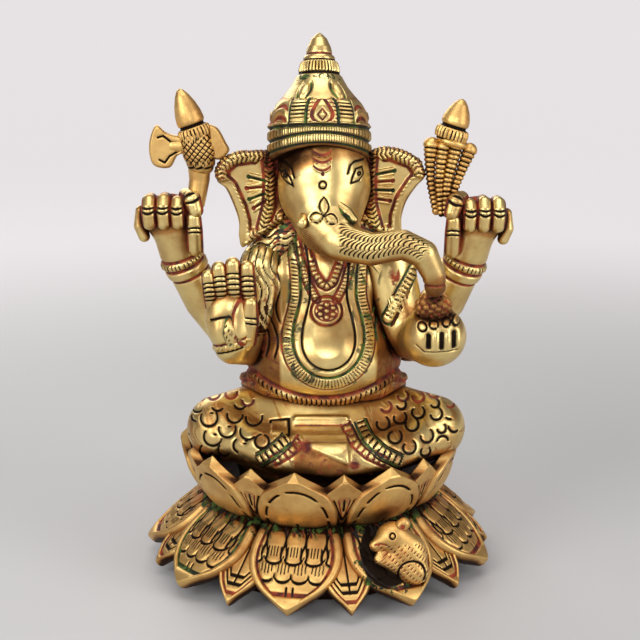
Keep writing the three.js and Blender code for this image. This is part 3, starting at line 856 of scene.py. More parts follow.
def lotus_petals():
    """Nine large and nine small leaves above and below, each ring turned round one axis."""
    large = smooth_row([[0, 13.6], [0.2, 16.2], [0.42, 17.8], [0.6, 16.6], [0.76, 12.4], [0.9, 5.6], [1, 0]])
    small = smooth_row([[0, 10.5], [0.25, 11.6], [0.5, 11.4], [0.75, 7.6], [0.92, 2.6], [1, 0]])
    bowl_wide = smooth_row([[0, 14.6], [0.2, 15.6], [0.4, 15.9], [0.56, 15.0], [0.71, 13.0], [0.82, 8.8],
                            [0.93, 3.4], [1, 0]])
    bowl_thin = smooth_row([[0, 2.0], [0.33, 2.4], [0.5, 5.0], [0.66, 7.6], [0.76, 7.8], [0.88, 4.2], [1, 0]])

    def skirt_line(tip, tip_z, rise=0.0):
        return rail([[39.5, 26.9 - rise], [46, 24.0 - rise], [56, 15.8 - rise],
                     [mix(56, tip, 0.55), mix(15.8, tip_z, 0.55)], [tip, tip_z]])

    def bowl_line(tip, tip_z, back=0.0):
        return rail([[40.0 - back, 27.6], [45.6 - back, 32.5], [49.6 - back, 39], [tip - back, tip_z]])

    tints = ("", "", "", "red", "", "green", "", "red", "green")
    skirt, bowl = [], []
    for k in range(PETALS):
        turn = FIRST + k * PITCH
        skirt.append(petal(turn, large, 34, skirt_line(67.0, 4.2), 4.6, 0.005, skirt_large(tints[k])))
        skirt.append(petal(turn + PITCH / 2, small, 31, skirt_line(65.6, 3.4, 2.4), 3.8, 0.004, skirt_small,
                           58))
        bowl.append(petal(turn, bowl_wide, 27.5, bowl_line(53.2, 51.4), 3.8, 0.0, bowl_large, 80, True, 1.7))
        bowl.append(petal(turn + PITCH / 2, bowl_thin, 26, bowl_line(52.4, 50.2, 1.0), 3.6, 0.0, bowl_small,
                          58, True, 1.4))
    return skirt, bowl


def lotus():
    """The turned foot and cup with their petals, the patina that gathers between them, and painted shade on
    the cup, on the foot under the petals and on the petals behind the mouse.
    """
    skirt, bowl = lotus_petals()
    foot = revolve([[0, 26.9], [41.6, 26.9], [43, 25.6], [48.5, 18.0], [50, 11], [47, 6.5], [46, 0.3],
                    [45.6, 0], [41.4, 0], [41, 0.4], [37, 22.4], [0, 22.5]], 72, 200)
    foot.paint("green", 0.9 * smooth(-0.2, 0.5, mottle(foot.points, 4)) * smooth(22, 26, foot.z))
    # painted shade: the foot darkened below z 20, under the petals
    foot.paint("tarnish_and_shade", np.ones(foot.x.shape) * (foot.z < 20))
    cup = revolve([[0, 32.2], [38, 32.2], [43, 35], [46.4, 39.5], [47.4, 44.0], [48.6, 46.0], [49.8, 45.4],
                   [49.9, 41], [46.6, 33], [41.5, 27.5], [40.5, 27.2], [0, 27.2]], 80, 200)
    cup.paint("green", 0.9 * smooth(-0.2, 0.5, mottle(cup.points, 4)) * smooth(30, 28, cup.z))
    # painted shade: the cup's top, under the legs, is darkened, and its floor inside is painted black, where
    # the gap between the petals and the legs lies in shadow
    cup.paint("tarnish_and_shade", smooth(36, 40, cup.z))
    cup.paint("black", 0.9 * (np.hypot(cup.x, cup.y) < 48.6) * (cup.z > 32))
    for leaf in skirt:
        far = np.hypot(leaf.x, leaf.y)
        ragged = smooth(0.0, 0.6, mottle(leaf.points, 4.5, 1.0))
        leaf.paint("green", 0.9 * ragged * smooth(52, 45, far) * (leaf.z > 12))
        leaf.paint("tarnish_and_shade", 0.5 * smooth(6, 2, leaf.z))
        # painted shade: the petals behind the mouse painted black; the green ring round it is patina
        beside = np.hypot(leaf.x - 26.0, 1.1 * (leaf.z - 21.5)) * (leaf.y < -40) + 99 * (leaf.y >= -40)
        leaf.paint("black", 0.85 * smooth(12.5, 10.5, beside))
        leaf.paint("green", 0.9 * band(beside, 11.0, 14.0, 1.2) * smooth(-0.2, 0.4, mottle(leaf.points, 4)))
    for leaf in bowl:
        leaf.paint("green", 0.7 * smooth(0.1, 0.7, mottle(leaf.points, 4.5, 2.0)) * smooth(32, 28.5, leaf.z))
    large, small = slice(0, None, 2), slice(1, None, 2)
    make_piece("lotus_foot", [foot], ANTIQUE, "antique_brass", "lotus_skirt")
    make_piece("skirt_large_petals_front", skirt[large][:5], ANTIQUE, "antique_brass", "lotus_skirt")
    make_piece("skirt_large_petals_back", skirt[large][5:], ANTIQUE, "antique_brass", "lotus_skirt")
    make_piece("skirt_small_petals", skirt[small], ANTIQUE, "antique_brass", "lotus_skirt")
    make_piece("bowl_cup", [cup], ANTIQUE, "antique_brass", "lotus_bowl")
    make_piece("bowl_large_petals_front", bowl[large][:5], ANTIQUE, "antique_brass", "lotus_bowl")
    make_piece("bowl_large_petals_back", bowl[large][5:], ANTIQUE, "antique_brass", "lotus_bowl")
    make_piece("bowl_small_petals", bowl[small], ANTIQUE, "antique_brass", "lotus_bowl")


# ---- body ----

TORSO = melt(5, melt(9, egg([1.5, -3, 83], [30, 26, 21]), egg([1.5, 1, 106], [25, 18, 22]),
                     limb([-17, 3, 113, 9], [21, 3, 113, 9]), limb([1.5, -2, 118, 13], [1.5, -4, 128, 10])),
             egg([1.5, 4, 70], [32.5, 24.5, 10]))
LEGS = above(32.55, melt(6, egg([1.5, 4, 58], [38, 27, 13]), limb([-16, -2, 60, 12], [-39, -10, 56, 11.5]),
                         limb([19, -2, 60, 12], [44, -10, 56, 11.5]),
                         limb([-38, -14, 54, 9.5], [-14, -35, 53, 7], [2, -41, 52, 5]),
                         limb([42, -14, 54, 9.5], [24, -35, 53, 7], [8, -41, 52, 5]),
                         egg([4, -28, 52], [24, 16, 9]), limb([0, 0, 44, 33], [0, 0, 46, 33])))


def chase_bib(s, front):
    """A panel raised inside a beaded hem. Its outline is two upright sides above z = 93 and a half circle of
    radius 17 below; the distance from it is given back."""
    x, z = s.x, s.z
    dx = np.abs(x - 3.2)
    half = 17 - 3.2 * smooth(93, 110, z) + 1.2 * smooth(112, 130, z)
    bib = np.where(z > 93, dx - half, np.hypot(dx, z - 93) - 17)
    run = np.where(z > 93, z - 93, np.arctan2(z - 93, dx) * 17)
    low = smooth(100, 82, z)
    line = mix(3.7, 4.6, low)
    s.raise_by(0.7, smooth(0.3, -0.3, bib) * front)
    s.raise_by(0.4, band(bib, -line + 0.4, -0.3, 0.3) * ribs(run, 1.3) * front)
    s.paint("black", 0.75 * band(bib, -line + 0.6, -0.7, 0.2) * (ribs(run, 1.3) < 0.2) * front)
    s.cut(np.abs(bib - 0.3), 0.9, 0.3, "red", front, 0.9)
    s.cut(np.abs(bib + line), 0.9, 0.5, "green", front)
    s.raise_by(0.45, band(bib, -7.0, -line - 0.7, 0.5) * front)
    s.cut(np.abs(bib + mix(7.2, 7.6, low)), 0.8, 0.5, "black", front)
    s.raise_by(0.5, smooth(-8, -12, bib) * front)
    return bib


def chase_chains(s, front):
    """A chain and two cords round the neck: domed along given lines, and ribbed along their length."""
    x, z = s.x, s.z
    chain = [(-5.2, 131), (-4.0, 124), (-1.8, 117), (0.8, 113.4), (2.5, 112.6), (4.6, 114), (7.4, 121),
             (9.0, 131)]
    away, at = along_line(x, z, chain)
    s.raise_by(1.2, dome(away, 1.25) * (0.55 + 0.45 * ribs(at, 1.6)) * front)
    s.paint("red", 0.9 * smooth(1.2, 0.9, away) * (ribs(at, 1.6) < 0.24) * front)
    s.cut(np.abs(away - 1.6), 0.9, 0.35, "red", front)
    for cord in ([(-9.2, 133.5), (-7.2, 124), (-4.6, 114.5), (-1.2, 107.6)],
                 [(13.2, 133.5), (11.4, 121), (9.0, 113), (6.2, 107.4)]):
        away, at = along_line(x, z, cord)
        s.raise_by(1.0, dome(away, 1.2) * (0.6 + 0.4 * ribs(at, 1.3)) * front)
        s.paint("red", 0.8 * smooth(1.2, 0.8, away) * (ribs(at, 1.3) < 0.2) * front)
        s.cut(np.abs(away - 1.5), 0.9, 0.35, "red", front)


def chase_medallion(s):
    """A round boss in two rings with seven pearls on it: one in the middle and six round a circle."""
    u, v, near = patch(s, 2.5, 103.0)
    r = np.hypot(u, v)
    s.lift = np.where(r < 6.5, s.lift * smooth(5, 6.5, r), s.lift)
    s.raise_by(1.5, smooth(5.6, 4.9, r) * near)
    s.cut(np.abs(r - 5.7), 0.9, 0.3, "red", near)
    s.cut(np.abs(r - 4.1), 0.5, 0.25, "red", near)
    spots = [(0, 0)] + [(2.6 * math.cos(k * math.pi / 3 + 0.5), 2.6 * math.sin(k * math.pi / 3 + 0.5))
                        for k in range(6)]
    for a, b in spots:
        away = np.hypot(u - a, v - b)
        s.raise_by(0.7, dome(away, 0.95) * near)
        s.cut(np.abs(away - 1.15), 0.6, 0.2, "red", near)


def chase_belt(s):
    """A domed band ribbed by the angle round the body; it sags towards the front as the square of x."""
    x, z = s.x, s.z
    girth = np.degrees(np.arctan2(x - 1.5, 4 - s.y))
    belt = z - 69.6 - 0.011 * np.minimum(np.abs(x - 1.5), 26) ** 2 * smooth(14, -16, s.y)
    ends = np.maximum(smooth(31, 26, np.abs(x - 1.5)), 0.35)
    s.raise_by(1.9, dome(belt, 1.7) * (0.6 + 0.4 * ribs(girth, 3.6)) * ends)
    s.cut(np.abs(belt - 2.3), 1.4, 0.5, "red")
    s.cut(np.abs(belt + 2.2), 1.3, 0.4, "red")
    s.paint("black", 0.9 * smooth(1.7, 1.3, np.abs(belt)) * (ribs(girth, 3.6) < 0.22))


def chase_shawl(s, front):
    """Folds down both sides of the chest: grooves at equal steps across x, bent by a sine of the height."""
    x, z = s.x, s.z
    left = smooth(-13.5, -15.5, x) * front
    wave = x + 1.4 * np.sin(z / 3.1) + (z - 100) * 0.12
    s.cut(np.abs(np.mod(wave, 3.2) - 1.6), 0.8, 0.45, "black", left * band(z, 86, 126, 2))
    s.raise_by(0.6, left * band(z, 86, 126, 2))
    s.paint("red", 0.5 * left * band(z, 108, 122, 3) * (np.sin(z * 1.3 + x) > 0.2))
    right = smooth(18.5, 20.5, x) * front
    wave = x - 1.0 * np.sin(z / 2.7) - (z - 100) * 0.2
    s.cut(np.abs(np.mod(wave, 3.0) - 1.5), 0.8, 0.4, "green", right * band(z, 92, 122, 2))


def shawl_roll():
    """The roll of cloth behind the neck, with grooves at equal steps of height that spread to the sides."""
    neck = bar([[-19, 1, 121, 9], [-9, 0, 130, 8.5], [11.5, 0, 130, 8.5], [22, 1, 121, 9]], rows=56,
               columns=84, cap=9, reach=20)
    wave = np.mod(neck.z + 0.35 * np.abs(neck.x - 1.5) + 0.8 * np.sin(neck.x * 0.9), 2.6) - 1.3
    neck.cut(wave, 0.8, 0.45, "black", neck.front(-0.2, 0.1))
    neck.paint("red", 0.8 * smooth(-0.2, 0.4, mottle(neck.points, 5)) * neck.front(-0.2, 0.1))
    neck.paint("green", 0.7 * smooth(0.2, 0.6, mottle(neck.points, 6, 3.0)) * neck.front(-0.2, 0.1))
    return neck


def torso():
    """The belly with its bib, chain, cords, medallion, belt and shawl, and the shawl's roll at the neck."""
    s = skin(TORSO, [[1.5, 2, 69], [1.5, -1, 100], [1.5, -1, 120]], rows=206, columns=360, cap=24, focus=0.45)
    front = s.front(0.0, 0.2)
    x, z = s.x, s.z
    bib = chase_bib(s, front)
    chase_chains(s, front)
    chase_medallion(s)
    chase_belt(s)
    s.paint("red", 0.55 * smooth(0.1, 0.7, mottle(s.points, 4)) * smooth(80, 76, z)
            * smooth(12, 22, np.abs(x - 1.5)))
    s.paint("red", 0.45 * smooth(-0.4, 0.4, mottle(s.points, 8, 5.0)) * smooth(16.8, 18.5, np.abs(x - 3.2))
            * smooth(114, 102, z))
    s.paint("green", 0.5 * smooth(0.0, 0.6, mottle(s.points, 7, 6.0)) * band(bib, -8, 1.5, 0.5) * front)
    chase_shawl(s, front)
    s.paint("tarnish_and_shade", smooth(16.8, 18.5, np.abs(x - 3.2)) * smooth(114, 102, z) * smooth(70, 76, z))
    s.paint("tarnish_and_shade", 0.6 * smooth(75, 71, z))
    make_piece("belly_and_chest", [s, shawl_roll()], POLISHED, "polished_brass", "torso")


def chase_scrolls(s):
    """Commas scattered over both legs, black and red, and a few short flecks; each row is a place, a radius,
    the angle where the comma starts and the angle it turns through."""
    for x, v, r, start, sweep in ((-41.6, 51.8, 3.3, 150, 250), (-31.8, 52.8, 2.9, 160, 210),
                                  (-24.6, 51.8, 3.0, 165, 215), (-34.5, 47.5, 3.2, 160, 225),
                                  (-40.0, 44.6, 3.5, 140, 210), (-26.4, 46.6, 3.1, 155, 170),
                                  (-29.0, 41.2, 3.0, 120, 130), (-21.2, 42.8, 2.6, 90, 345),
                                  (-46.4, 56.4, 2.4, 200, 120), (-38.4, 56.8, 2.4, 200, 130),
                                  (-42.8, 39.2, 2.6, 120, 230), (-49.0, 47.8, 2.4, 150, 110),
                                  (-35.6, 39.6, 2.4, 130, 200), (-47.8, 42.0, 2.2, 140, 160),
                                  (-30.0, 57.4, 2.2, 190, 150), (-46.8, 52.6, 2.0, 160, 120)):
        curl(s, x, v, r, start, sweep, 0.0, 0.85, 0.4)
    for x, v, r, start, sweep in ((-40.4, 61.2, 2.6, 150, 230), (-33.6, 61.6, 2.6, 160, 220),
                                  (-27.0, 58.6, 2.4, 170, 200), (-45.4, 60.4, 2.0, 150, 160),
                                  (37.2, 60.2, 2.6, 60, -250), (43.6, 61.8, 2.4, 60, -240),
                                  (31.4, 60.4, 2.3, 60, -250), (49.4, 57.8, 2.2, 60, -200),
                                  (25.0, 56.0, 2.3, 70, -230)):
        curl(s, x, v, r, start, sweep, 0.2, 0.9, 0.35, "red")
    for x, v in ((-40.6, 53.6), (-33.8, 48.4), (-39.2, 45.4), (-27.6, 42.0), (-27.2, 43.0)):
        u, w, near = seen_from_above(s, x, v)
        s.cut(np.hypot(u, 1.6 * w), 1.5, 0.4, "black", near)
    for x, v, r, start, sweep in ((29.8, 51.9, 2.9, 50, -260), (36.6, 54.0, 2.9, 50, -290),
                                  (23.4, 49.6, 3.1, 60, -270), (33.9, 49.2, 3.1, 55, -270),
                                  (27.2, 44.6, 3.1, 50, -310), (43.4, 53.2, 2.9, 60, -240),
                                  (43.2, 57.4, 2.3, 70, -230), (39.4, 44.8, 3.2, 60, -250),
                                  (32.6, 40.6, 3.1, 60, -290), (51.0, 48.4, 2.7, 170, 150),
                                  (46.6, 42.6, 2.8, 180, -170), (49.6, 53.0, 2.4, 200, 80),
                                  (39.0, 39.0, 2.4, 50, -280), (30.6, 56.8, 2.2, 60, -240),
                                  (45.4, 47.6, 2.2, 60, -240)):
        curl(s, x, v, r, start, sweep, 0.4, 0.9, 0.4)


def chase_cuffs(s, x, v, front):
    """A beaded band across each ankle and a ribbed one beside it, both raised along the same line."""
    for line, way in (([(-11.6, 43.6), (-17.0, 38.8), (-22.4, 35.6)], -1),
                      ([(14.6, 50.6), (17.6, 43.4), (22.6, 38.6), (29.6, 35.2)], 1)):
        away, at = along_line(x, v, line)
        cuff = front * (at > 0.05) * (at < at.max() - 0.05)
        s.raise_by(0.7, smooth(2.7, 2.2, away) * cuff)
        s.raise_by(0.5, smooth(1.5, 1.0, away) * ribs(at, 2.05) * cuff)
        s.paint("black", 0.95 * smooth(1.8, 1.4, away) * (ribs(at, 2.05) < 0.3) * cuff)
        s.cut(np.abs(away - 2.0), 0.8, 0.4, "green", cuff)
        s.cut(np.abs(away - 2.9), 0.6, 0.4, "black", cuff)
        away, at = along_line(x, v, [(a - way * 5.2, b - 0.6) for a, b in line])
        cuff = front * (at > 0.05) * (at < at.max() - 0.05)
        s.raise_by(0.5, smooth(1.5, 1.0, away) * ribs(at, 2.3) * cuff)
        s.cut(np.abs(away - 1.8), 0.9, 0.4, "red", cuff)
        s.paint("red", 0.8 * smooth(1.6, 1.2, away) * (ribs(at, 2.3) < 0.3) * cuff)


def chase_apron(s, x, v, front):
    """The cloth between the legs: two ridges across, a raised flap cut off aslant with painted shade below
    it, and two red patches.
    """
    middle = band(x, -9.5, 10.5, 1.0) * front
    for ridge, high in ((51.2, 0.9), (44.2, 1.3)):
        s.raise_by(high, np.exp(-(((v - ridge) / 1.1) ** 2)) * middle)
        s.cut(np.abs(v - ridge + 2.4), 0.8, 0.4, "red", middle, 0.6)
    flap = v - 37.6 + 0.42 * (x - 2)
    s.raise_by(1.2, smooth(-0.4, 0.4, flap) * smooth(44, 41, v) * middle)
    # painted shade: darkened below the flap's edge
    s.paint("tarnish_and_shade", smooth(0.4, -0.4, flap) * middle)
    s.paint("red", 0.7 * front * np.exp(-(((x + 4.6) / 2.4) ** 2 + ((v - 40.5) / 3.0) ** 2)))
    s.paint("red", 0.7 * front * np.exp(-(((x - 12.5) / 3.0) ** 2 + ((v - 34.0) / 2.4) ** 2)))


def crossed_legs():
    """Thighs and shins folded on the lotus, scattered with chased commas, with beaded cuffs and painted shade
    underneath.
    """
    s = skin(LEGS, [[-36, -10, 54], [1.5, -8, 54], [40, -10, 54]], side=(0, -1, 0.45), rows=196, columns=320,
             cap=44, focus=0.45, reach=70)
    chase_scrolls(s)
    x, z = s.x, s.z
    _, v, front = seen_from_above(s, 0, 0)
    chase_cuffs(s, x, v, front)
    chase_apron(s, x, v, front)
    block = to_line(x, v, [(-18.4, 50.6), (-11.6, 51.2), (-11.2, 45.0), (-17.8, 44.8), (-18.4, 50.6)])
    s.cut(block, 1.0, 0.5, "black", front * ((x > -12.6) | (v > 49.5)))
    s.raise_by(0.6, band(x, -17.8, -11.8, 0.4) * band(v, 45.4, 50.4, 0.4) * front)
    s.paint("red", 0.45 * smooth(0.1, 0.8, mottle(s.points, 5, 3.0)) * smooth(42, 38, v) * front)
    s.paint("tarnish_and_shade", 0.7 * smooth(0.0, 0.6, mottle(s.points, 9, 7.0)) * smooth(12, 16, np.abs(x - 2)) * front)
    # painted shade: the legs darken underneath, and turn near black lower down where they sit over the cup
    s.paint("tarnish_and_shade", 0.8 * smooth(48, 43, z))
    s.paint("black", 0.7 * smooth(44, 39, z))
    make_piece("folded_legs", [s], POLISHED, "antique_brass", "crossed_legs")


# ---- head ----

TRUNK = [[3, -20, 138, 10], [7, -30, 131.5, 7], [18, -37, 130, 5.8], [29, -39, 132, 5.3],
         [36.5, -38, 128.5, 5], [40.2, -37, 121, 4.2], [40.8, -36.5, 116.5, 3.8]]
SKULL = egg([1.6, -9, 151], [16.6, 17, 21])
MUZZLE = limb([1.6, -13, 145, 14.5], [3, -21, 136, 10.5])
HEAD = melt(6, SKULL, MUZZLE, limb(*TRUNK))


def face(s):
    """Brow marks, the two round marks below them and the two slanting eyes under their brows."""
    x, z = s.x, s.z
    front = s.front(-0.1, 0.15)
    for top, low, reach in ((162.8, 161.4, 3.4), (160.4, 159.0, 3.4), (157.8, 156.2, 3.2)):
        bow = top - (top - low) * (1 - ((x - 0.9) / reach) ** 2)
        s.cut(np.where(np.abs(x - 0.9) < reach, np.abs(z - bow), 9), 0.9, 0.35, "red", front)
        s.cut(np.where(np.abs(x - 0.9) < reach, np.abs(z - bow + 0.9), 9), 0.5, 0.2, "black", front, 0.6)
    dot(s, 1.1, 155.0, 0.7, -0.2, "red")
    dot(s, 1.2, 151.2, 1.0, 0.5, None, "black")
    s.cut(to_line(x, z, [(-14.9, 158.6), (-12.2, 158.2), (-10.2, 156.4), (-9.2, 153.3)]), 0.8, 0.4, "black",
          front)
    eye = [(-14.4, 154.6), (-12.4, 155.2), (-10.6, 153.2), (-9.6, 150.2), (-11.8, 151.3), (-13.6, 153.0),
           (-14.4, 154.6)]
    s.cut(to_line(x, z, eye), 0.7, 0.4, "black", front)
    s.raise_by(0.5, smooth(2.4, 0.6, np.hypot((x + 12.0) * 0.8, z - 153.2)) * front)
    s.cut(np.abs(np.hypot(x + 12.1, z - 153.4) - 0.5), 0.7, 0.3, "black", front)
    s.cut(to_line(x, z, [(10.1, 154.9), (11.0, 157.6), (12.6, 158.8), (16, 158.9)]), 0.8, 0.4, "black", front)
    eye = [(11.3, 151.4), (11.9, 154.2), (13.0, 156.2), (15.4, 156.6), (15.6, 154.2), (14.2, 152.0),
           (11.3, 151.4)]
    s.cut(to_line(x, z, eye), 0.7, 0.4, "black", front)
    s.raise_by(0.5, smooth(2.4, 0.6, np.hypot((x - 13.8) * 0.8, z - 154.2)) * front)
    s.cut(np.abs(np.hypot(x - 13.9, z - 154.4) - 0.5), 0.7, 0.3, "black", front)


def flower(s):
    """Three leaves round one place, outlined, where the trunk leaves the face."""
    x, z = s.x, s.z
    front = s.front(-0.1, 0.15)
    for (ax, az), (bx, bz) in (((1.5, 147.0), (1.5, 141.2)), ((-3.8, 139.6), (1.2, 140.8)),
                               ((6.4, 139.2), (1.8, 140.8))):
        d = np.array([bx - ax, bz - az])
        length = math.hypot(*d)
        d = d / length
        t = ((x - ax) * d[0] + (z - az) * d[1]) / length
        off = np.abs((x - ax) * d[1] - (z - az) * d[0])
        leaf = 1.7 * np.sin(math.pi * clamp01(t)) ** 0.8
        on = (t > -0.05) & (t < 1.05)
        s.cut(np.where(on, np.abs(off - leaf), 9), 0.7, 0.4, "black", front)
        s.raise_by(0.5, smooth(0.2, 0.8, leaf - off) * on * front)


def head_and_trunk():
    """The head and the trunk are shot from their own spines onto one field, so that they meet flush."""
    near_trunk = melt(6, SKULL, MUZZLE, limb(*TRUNK[:3]))
    head = skin(near_trunk, [[1.6, -9, 140], [1.6, -9, 158]], rows=120, columns=280, cap=44, focus=0.35,
                reach=44)
    beyond = smooth(2, 5, head.x) * smooth(139.5, 137.5, head.z) * smooth(-25, -28, head.y)
    face(head)
    flower(head)
    head.raise_by(-0.8, beyond)
    crease = head.z - 139.5 + 0.05 * (head.x - 1.5) ** 2
    head.paint("tarnish_and_shade", 0.5 * smooth(0, -8, crease))
    trunk = skin(HEAD, [k[:3] for k in TRUNK], rows=230, columns=120, cap=10, reach=30)
    along = trunk.along[:, None] + 0 * trunk.x
    span = trunk.along[-1]
    turn = np.degrees(np.where(trunk.turn > math.pi, trunk.turn - 2 * math.pi, trunk.turn))[None] + 0 * along
    free = smooth(6.0, 7.5, trunk.x) * smooth(46, 43, along)
    flower(trunk)
    for middle, shift in ((-58, 0.0), (-24, 0.5), (10, 0.0)):
        off = (turn - middle) / 19
        arch = along + 1.5 * off + 0.9 * (1 - off**2) - 1.5 * shift
        stroke = np.mod(arch, 1.5) - 0.75
        here = free * smooth(1.05, 0.85, np.abs(off))
        trunk.cut(stroke, np.maximum(0.6 - 0.2 * np.abs(off), 0.2), 0.42, "black", here)
    trunk.paint("tarnish_and_shade", 0.9 * smooth(28, 60, turn))
    trunk.paint("tarnish_and_shade", smooth(7, 1, span - along))
    trunk.cut(np.abs(span - along - 1.2), 0.8, 0.4, "red", 1.0, 0.8)
    trunk.raise_by(-0.8, smooth(4, 1, along))
    make_piece("head_and_trunk_skin", [head, trunk], POLISHED, "polished_brass", "head_and_trunk")


def tusks():
    """A broken stump and a whole tusk, each a short bar of round cones."""
    for name, knots, node, ink in (("broken_tusk", [[-4, -22, 141, 2.6], [-6.2, -29.5, 138.0, 2.1]],
                                    "right_tusk", None),
                                   ("whole_tusk", [[6.6, -27.5, 144.2, 1.5], [9.4, -30.0, 142.0, 2.0],
                                                   [12.0, -31.0, 139.4, 1.5]], "left_tusk", "green")):
        s = bar(knots, rows=34, columns=48, cap=10, reach=8)
        if ink:
            s.paint(ink, 0.8 * smooth(-0.1, 0.4, np.sin(s.turn * 3)[None] + 0.6 * mottle(s.points, 3)))
        make_piece(name, [s], POLISHED, "polished_brass", node)


EARS = {
    "right_ear": ([(-6, 134), (-14, 134.5), (-27.8, 125), (-30.2, 128), (-30.2, 133.5), (-31.6, 139),
                   (-34.8, 146.4), (-37.8, 149.4), (-38.0, 155), (-32.6, 159.5), (-25.6, 160.6),
                   (-15.7, 160.2), (-6, 158)], -1,
                  [((-26.3, 151.1), (-20.2, 149.6)), ((-27.1, 146.8), (-20.6, 147.4)),
                   ((-26.2, 142.7), (-20.6, 144.8)), ((-24.6, 139.3), (-20.1, 142.3))]),
    "left_ear": ([(8, 134), (16, 134.5), (28.5, 125.5), (30.5, 130), (30.6, 136), (32.4, 142),
                  (36, 147.5), (38.6, 150.6), (38.2, 154.4), (35.2, 158.4), (26.2, 161.8), (18.5, 160.6),
                  (8, 157)], 1,
                 [((27.6, 153.3), (20.8, 152.0)), ((27.1, 149.6), (20.8, 149.2)),
                  ((27.1, 146.0), (20.8, 146.2)), ((26.1, 142.1), (20.9, 142.9))]),
}


def ear_fan(node, outline, sign, pins):
    """A dished fan of metal with a roped rim, four raised pins and lacquered hollows between them."""
    mid = (sign * 22.0, 146.5)
    t, rho, ahead, x, z, plump = outline_rings(outline, mid, 240, (78, 22), 0.02, 1.5, 700)
    y = -3.9 - ahead * 1.9 * plump - 0.02 * (np.abs(x) - 15)
    points = np.stack([x, y, z], -1)
    s = Skin(points, points.mean(1), t, rho)
    outwards = np.stack([np.cos(t) + 0 * x, 0 * x, np.sin(t) + 0 * x], -1)
    s.normal = unit(ahead[..., None] * np.array([0, -1.0, 0]) + outwards * (1 - plump)[..., None])
    face_on = (ahead > 0) * 1.0
    away, at = along_line(x, z, outline + outline[:1])
    plain = smooth(2.4, 4.6, to_line(x, z, outline[3:7]))
    beside = [(sign * 19.0, 160), (sign * 18.2, 150), (sign * 18.6, 141), (sign * 21.0, 132)]
    near_face, down = along_line(x, z, beside)
    nearer = near_face < away
    away, at = np.where(nearer, near_face, np.abs(away - 1.9)), np.where(nearer, down, at)
    plain = np.where(nearer, 1.0, plain)
    twist = ribs(at + 0.5 * away, 1.7)
    s.raise_by(1.4, dome(away, 2.1) * (0.45 + 0.55 * twist) * plain * face_on)
    rope = smooth(2.2, 1.8, away) * plain * face_on
    s.paint("black", 0.95 * rope * (twist < 0.2) * (mottle(s.points, 5) < 0.3))
    s.paint("red", 0.9 * rope * (twist < 0.42) * (mottle(s.points, 5) >= 0.3))
    away = away + 1.0
    s.cut(np.abs(away - 3.5), 1.1, 0.5, "red", plain * face_on)
    s.raise_by(-0.9, smooth(3.3, 4.6, away) * face_on)
    for k, (head_at, tail) in enumerate(pins):
        along_pin = to_line(x, z, [head_at, tail])
        t_pin = clamp01((np.abs(x) - abs(tail[0])) / abs(head_at[0] - tail[0]))
        ink = ("green", "red")[k % 2]
        s.raise_by(0.7, smooth(0.8, 0.3, np.abs(along_pin - 0.9)) * face_on * (t_pin < 1))
        s.cut(along_pin, 0.9, 0.3, ink, face_on)
        s.paint(ink, 0.9 * smooth(1.0, 0.7, np.hypot(x - head_at[0], z - head_at[1])) * face_on)
    make_piece(node + "_fan", [s], POLISHED, "polished_brass", node)


def ears():
    """Both fans, each from its outline, its side and its pins, which run from head to tail."""
    for node, (outline, sign, pins) in EARS.items():
        ear_fan(node, outline, sign, pins)


CROWN_AT = np.array([-0.2, -6.0, 159.0])
CROWN_TOP = 203
LEAN = math.radians(12)


def crown_bands(s, az, h, here):
    """Two ribbed bands round the foot with a green line above, between and below them."""
    for low, high in ((5.9, 8.4), (2.0, 4.6)):
        rib = ribs(az, 2.9)
        s.raise_by(0.6, band(h, low, high, 0.3) * (0.3 + 0.7 * rib))
        s.paint("black", 0.85 * band(h, low, high, 0.2) * (rib < 0.22))
    for line in (9.4, 5.25, 1.4):
        s.cut(np.abs(h - line), 1.2, 0.55, "green", here)
        s.paint("black", 0.9 * smooth(0.45, 0.15, np.abs(h - line - 0.15)) * here)
    s.raise_by(0.5, band(h, 9.9, 10.6, 0.3))


def crown_ladders(s, az, h, radius):
    """Four upright ladders of short bars, each with a domed bud over it."""
    for mid_az in (-29, 29, 151, -151):
        u, v = np.radians(az - mid_az) * radius, h - 14.0
        inside = smooth(3.1, 2.7, np.abs(u)) * band(h, 9.8, 18.8, 0.3)
        bar = ribs(v, 1.35)
        s.raise_by(0.7, inside * (0.2 + 0.8 * bar))
        s.paint("black", 0.9 * inside * (bar < 0.22))
        s.cut(np.abs(np.abs(u) - 3.4), 1.2, 0.5, "green", band(h, 9.8, 19.5, 0.4))
        s.paint("black", 0.9 * smooth(0.35, 0.1, np.abs(np.abs(u) - 3.5)) * band(h, 9.8, 19.5, 0.4))
        bud = np.hypot(u * 1.45, (h - 22.4) * 1.05)
        s.raise_by(1.3, dome(bud, 3.1))
        s.cut(np.abs(bud - 3.6), 1.2, 0.5, "green", smooth(1.0, 1.7, np.abs(u)), 0.9)


def crown_drops(s, az, h, radius):
    """A jewelled drop in front and behind: half round below and pointed above, with rungs at its sides."""
    for mid_az in (0, 180):
        off = np.mod(az - mid_az + 180, 360) - 180
        u, v = np.radians(off) * radius, h - 13.0
        wide_drop = np.where(v < 0, 3.0 * dome(v, 2.8), 3.0 * np.clip(1 - np.abs(v / 5.8) ** 1.4, 0, 1))
        drop = np.abs(u) - wide_drop
        level = band(v, -2.8, 5.8, 0.3)
        s.raise_by(0.9, smooth(0.2, -0.4, drop) * level)
        s.paint("red", 0.9 * band(drop, 0.1, 1.5, 0.2) * level)
        gem = np.abs(u) + 0.8 * np.abs(v + 0.2)
        s.cut(np.abs(gem - 1.6), 0.7, 0.35, "red")
        s.raise_by(0.7, clamp01(1.4 - gem))
        bars = band(drop, 1.7, 4.0, 0.25) * level
        rung = ribs(v + 0.12 * np.abs(u), 1.35)
        s.raise_by(0.6, bars * (0.3 + 0.7 * rung))
        s.paint("red", 0.8 * bars * (rung < 0.25))


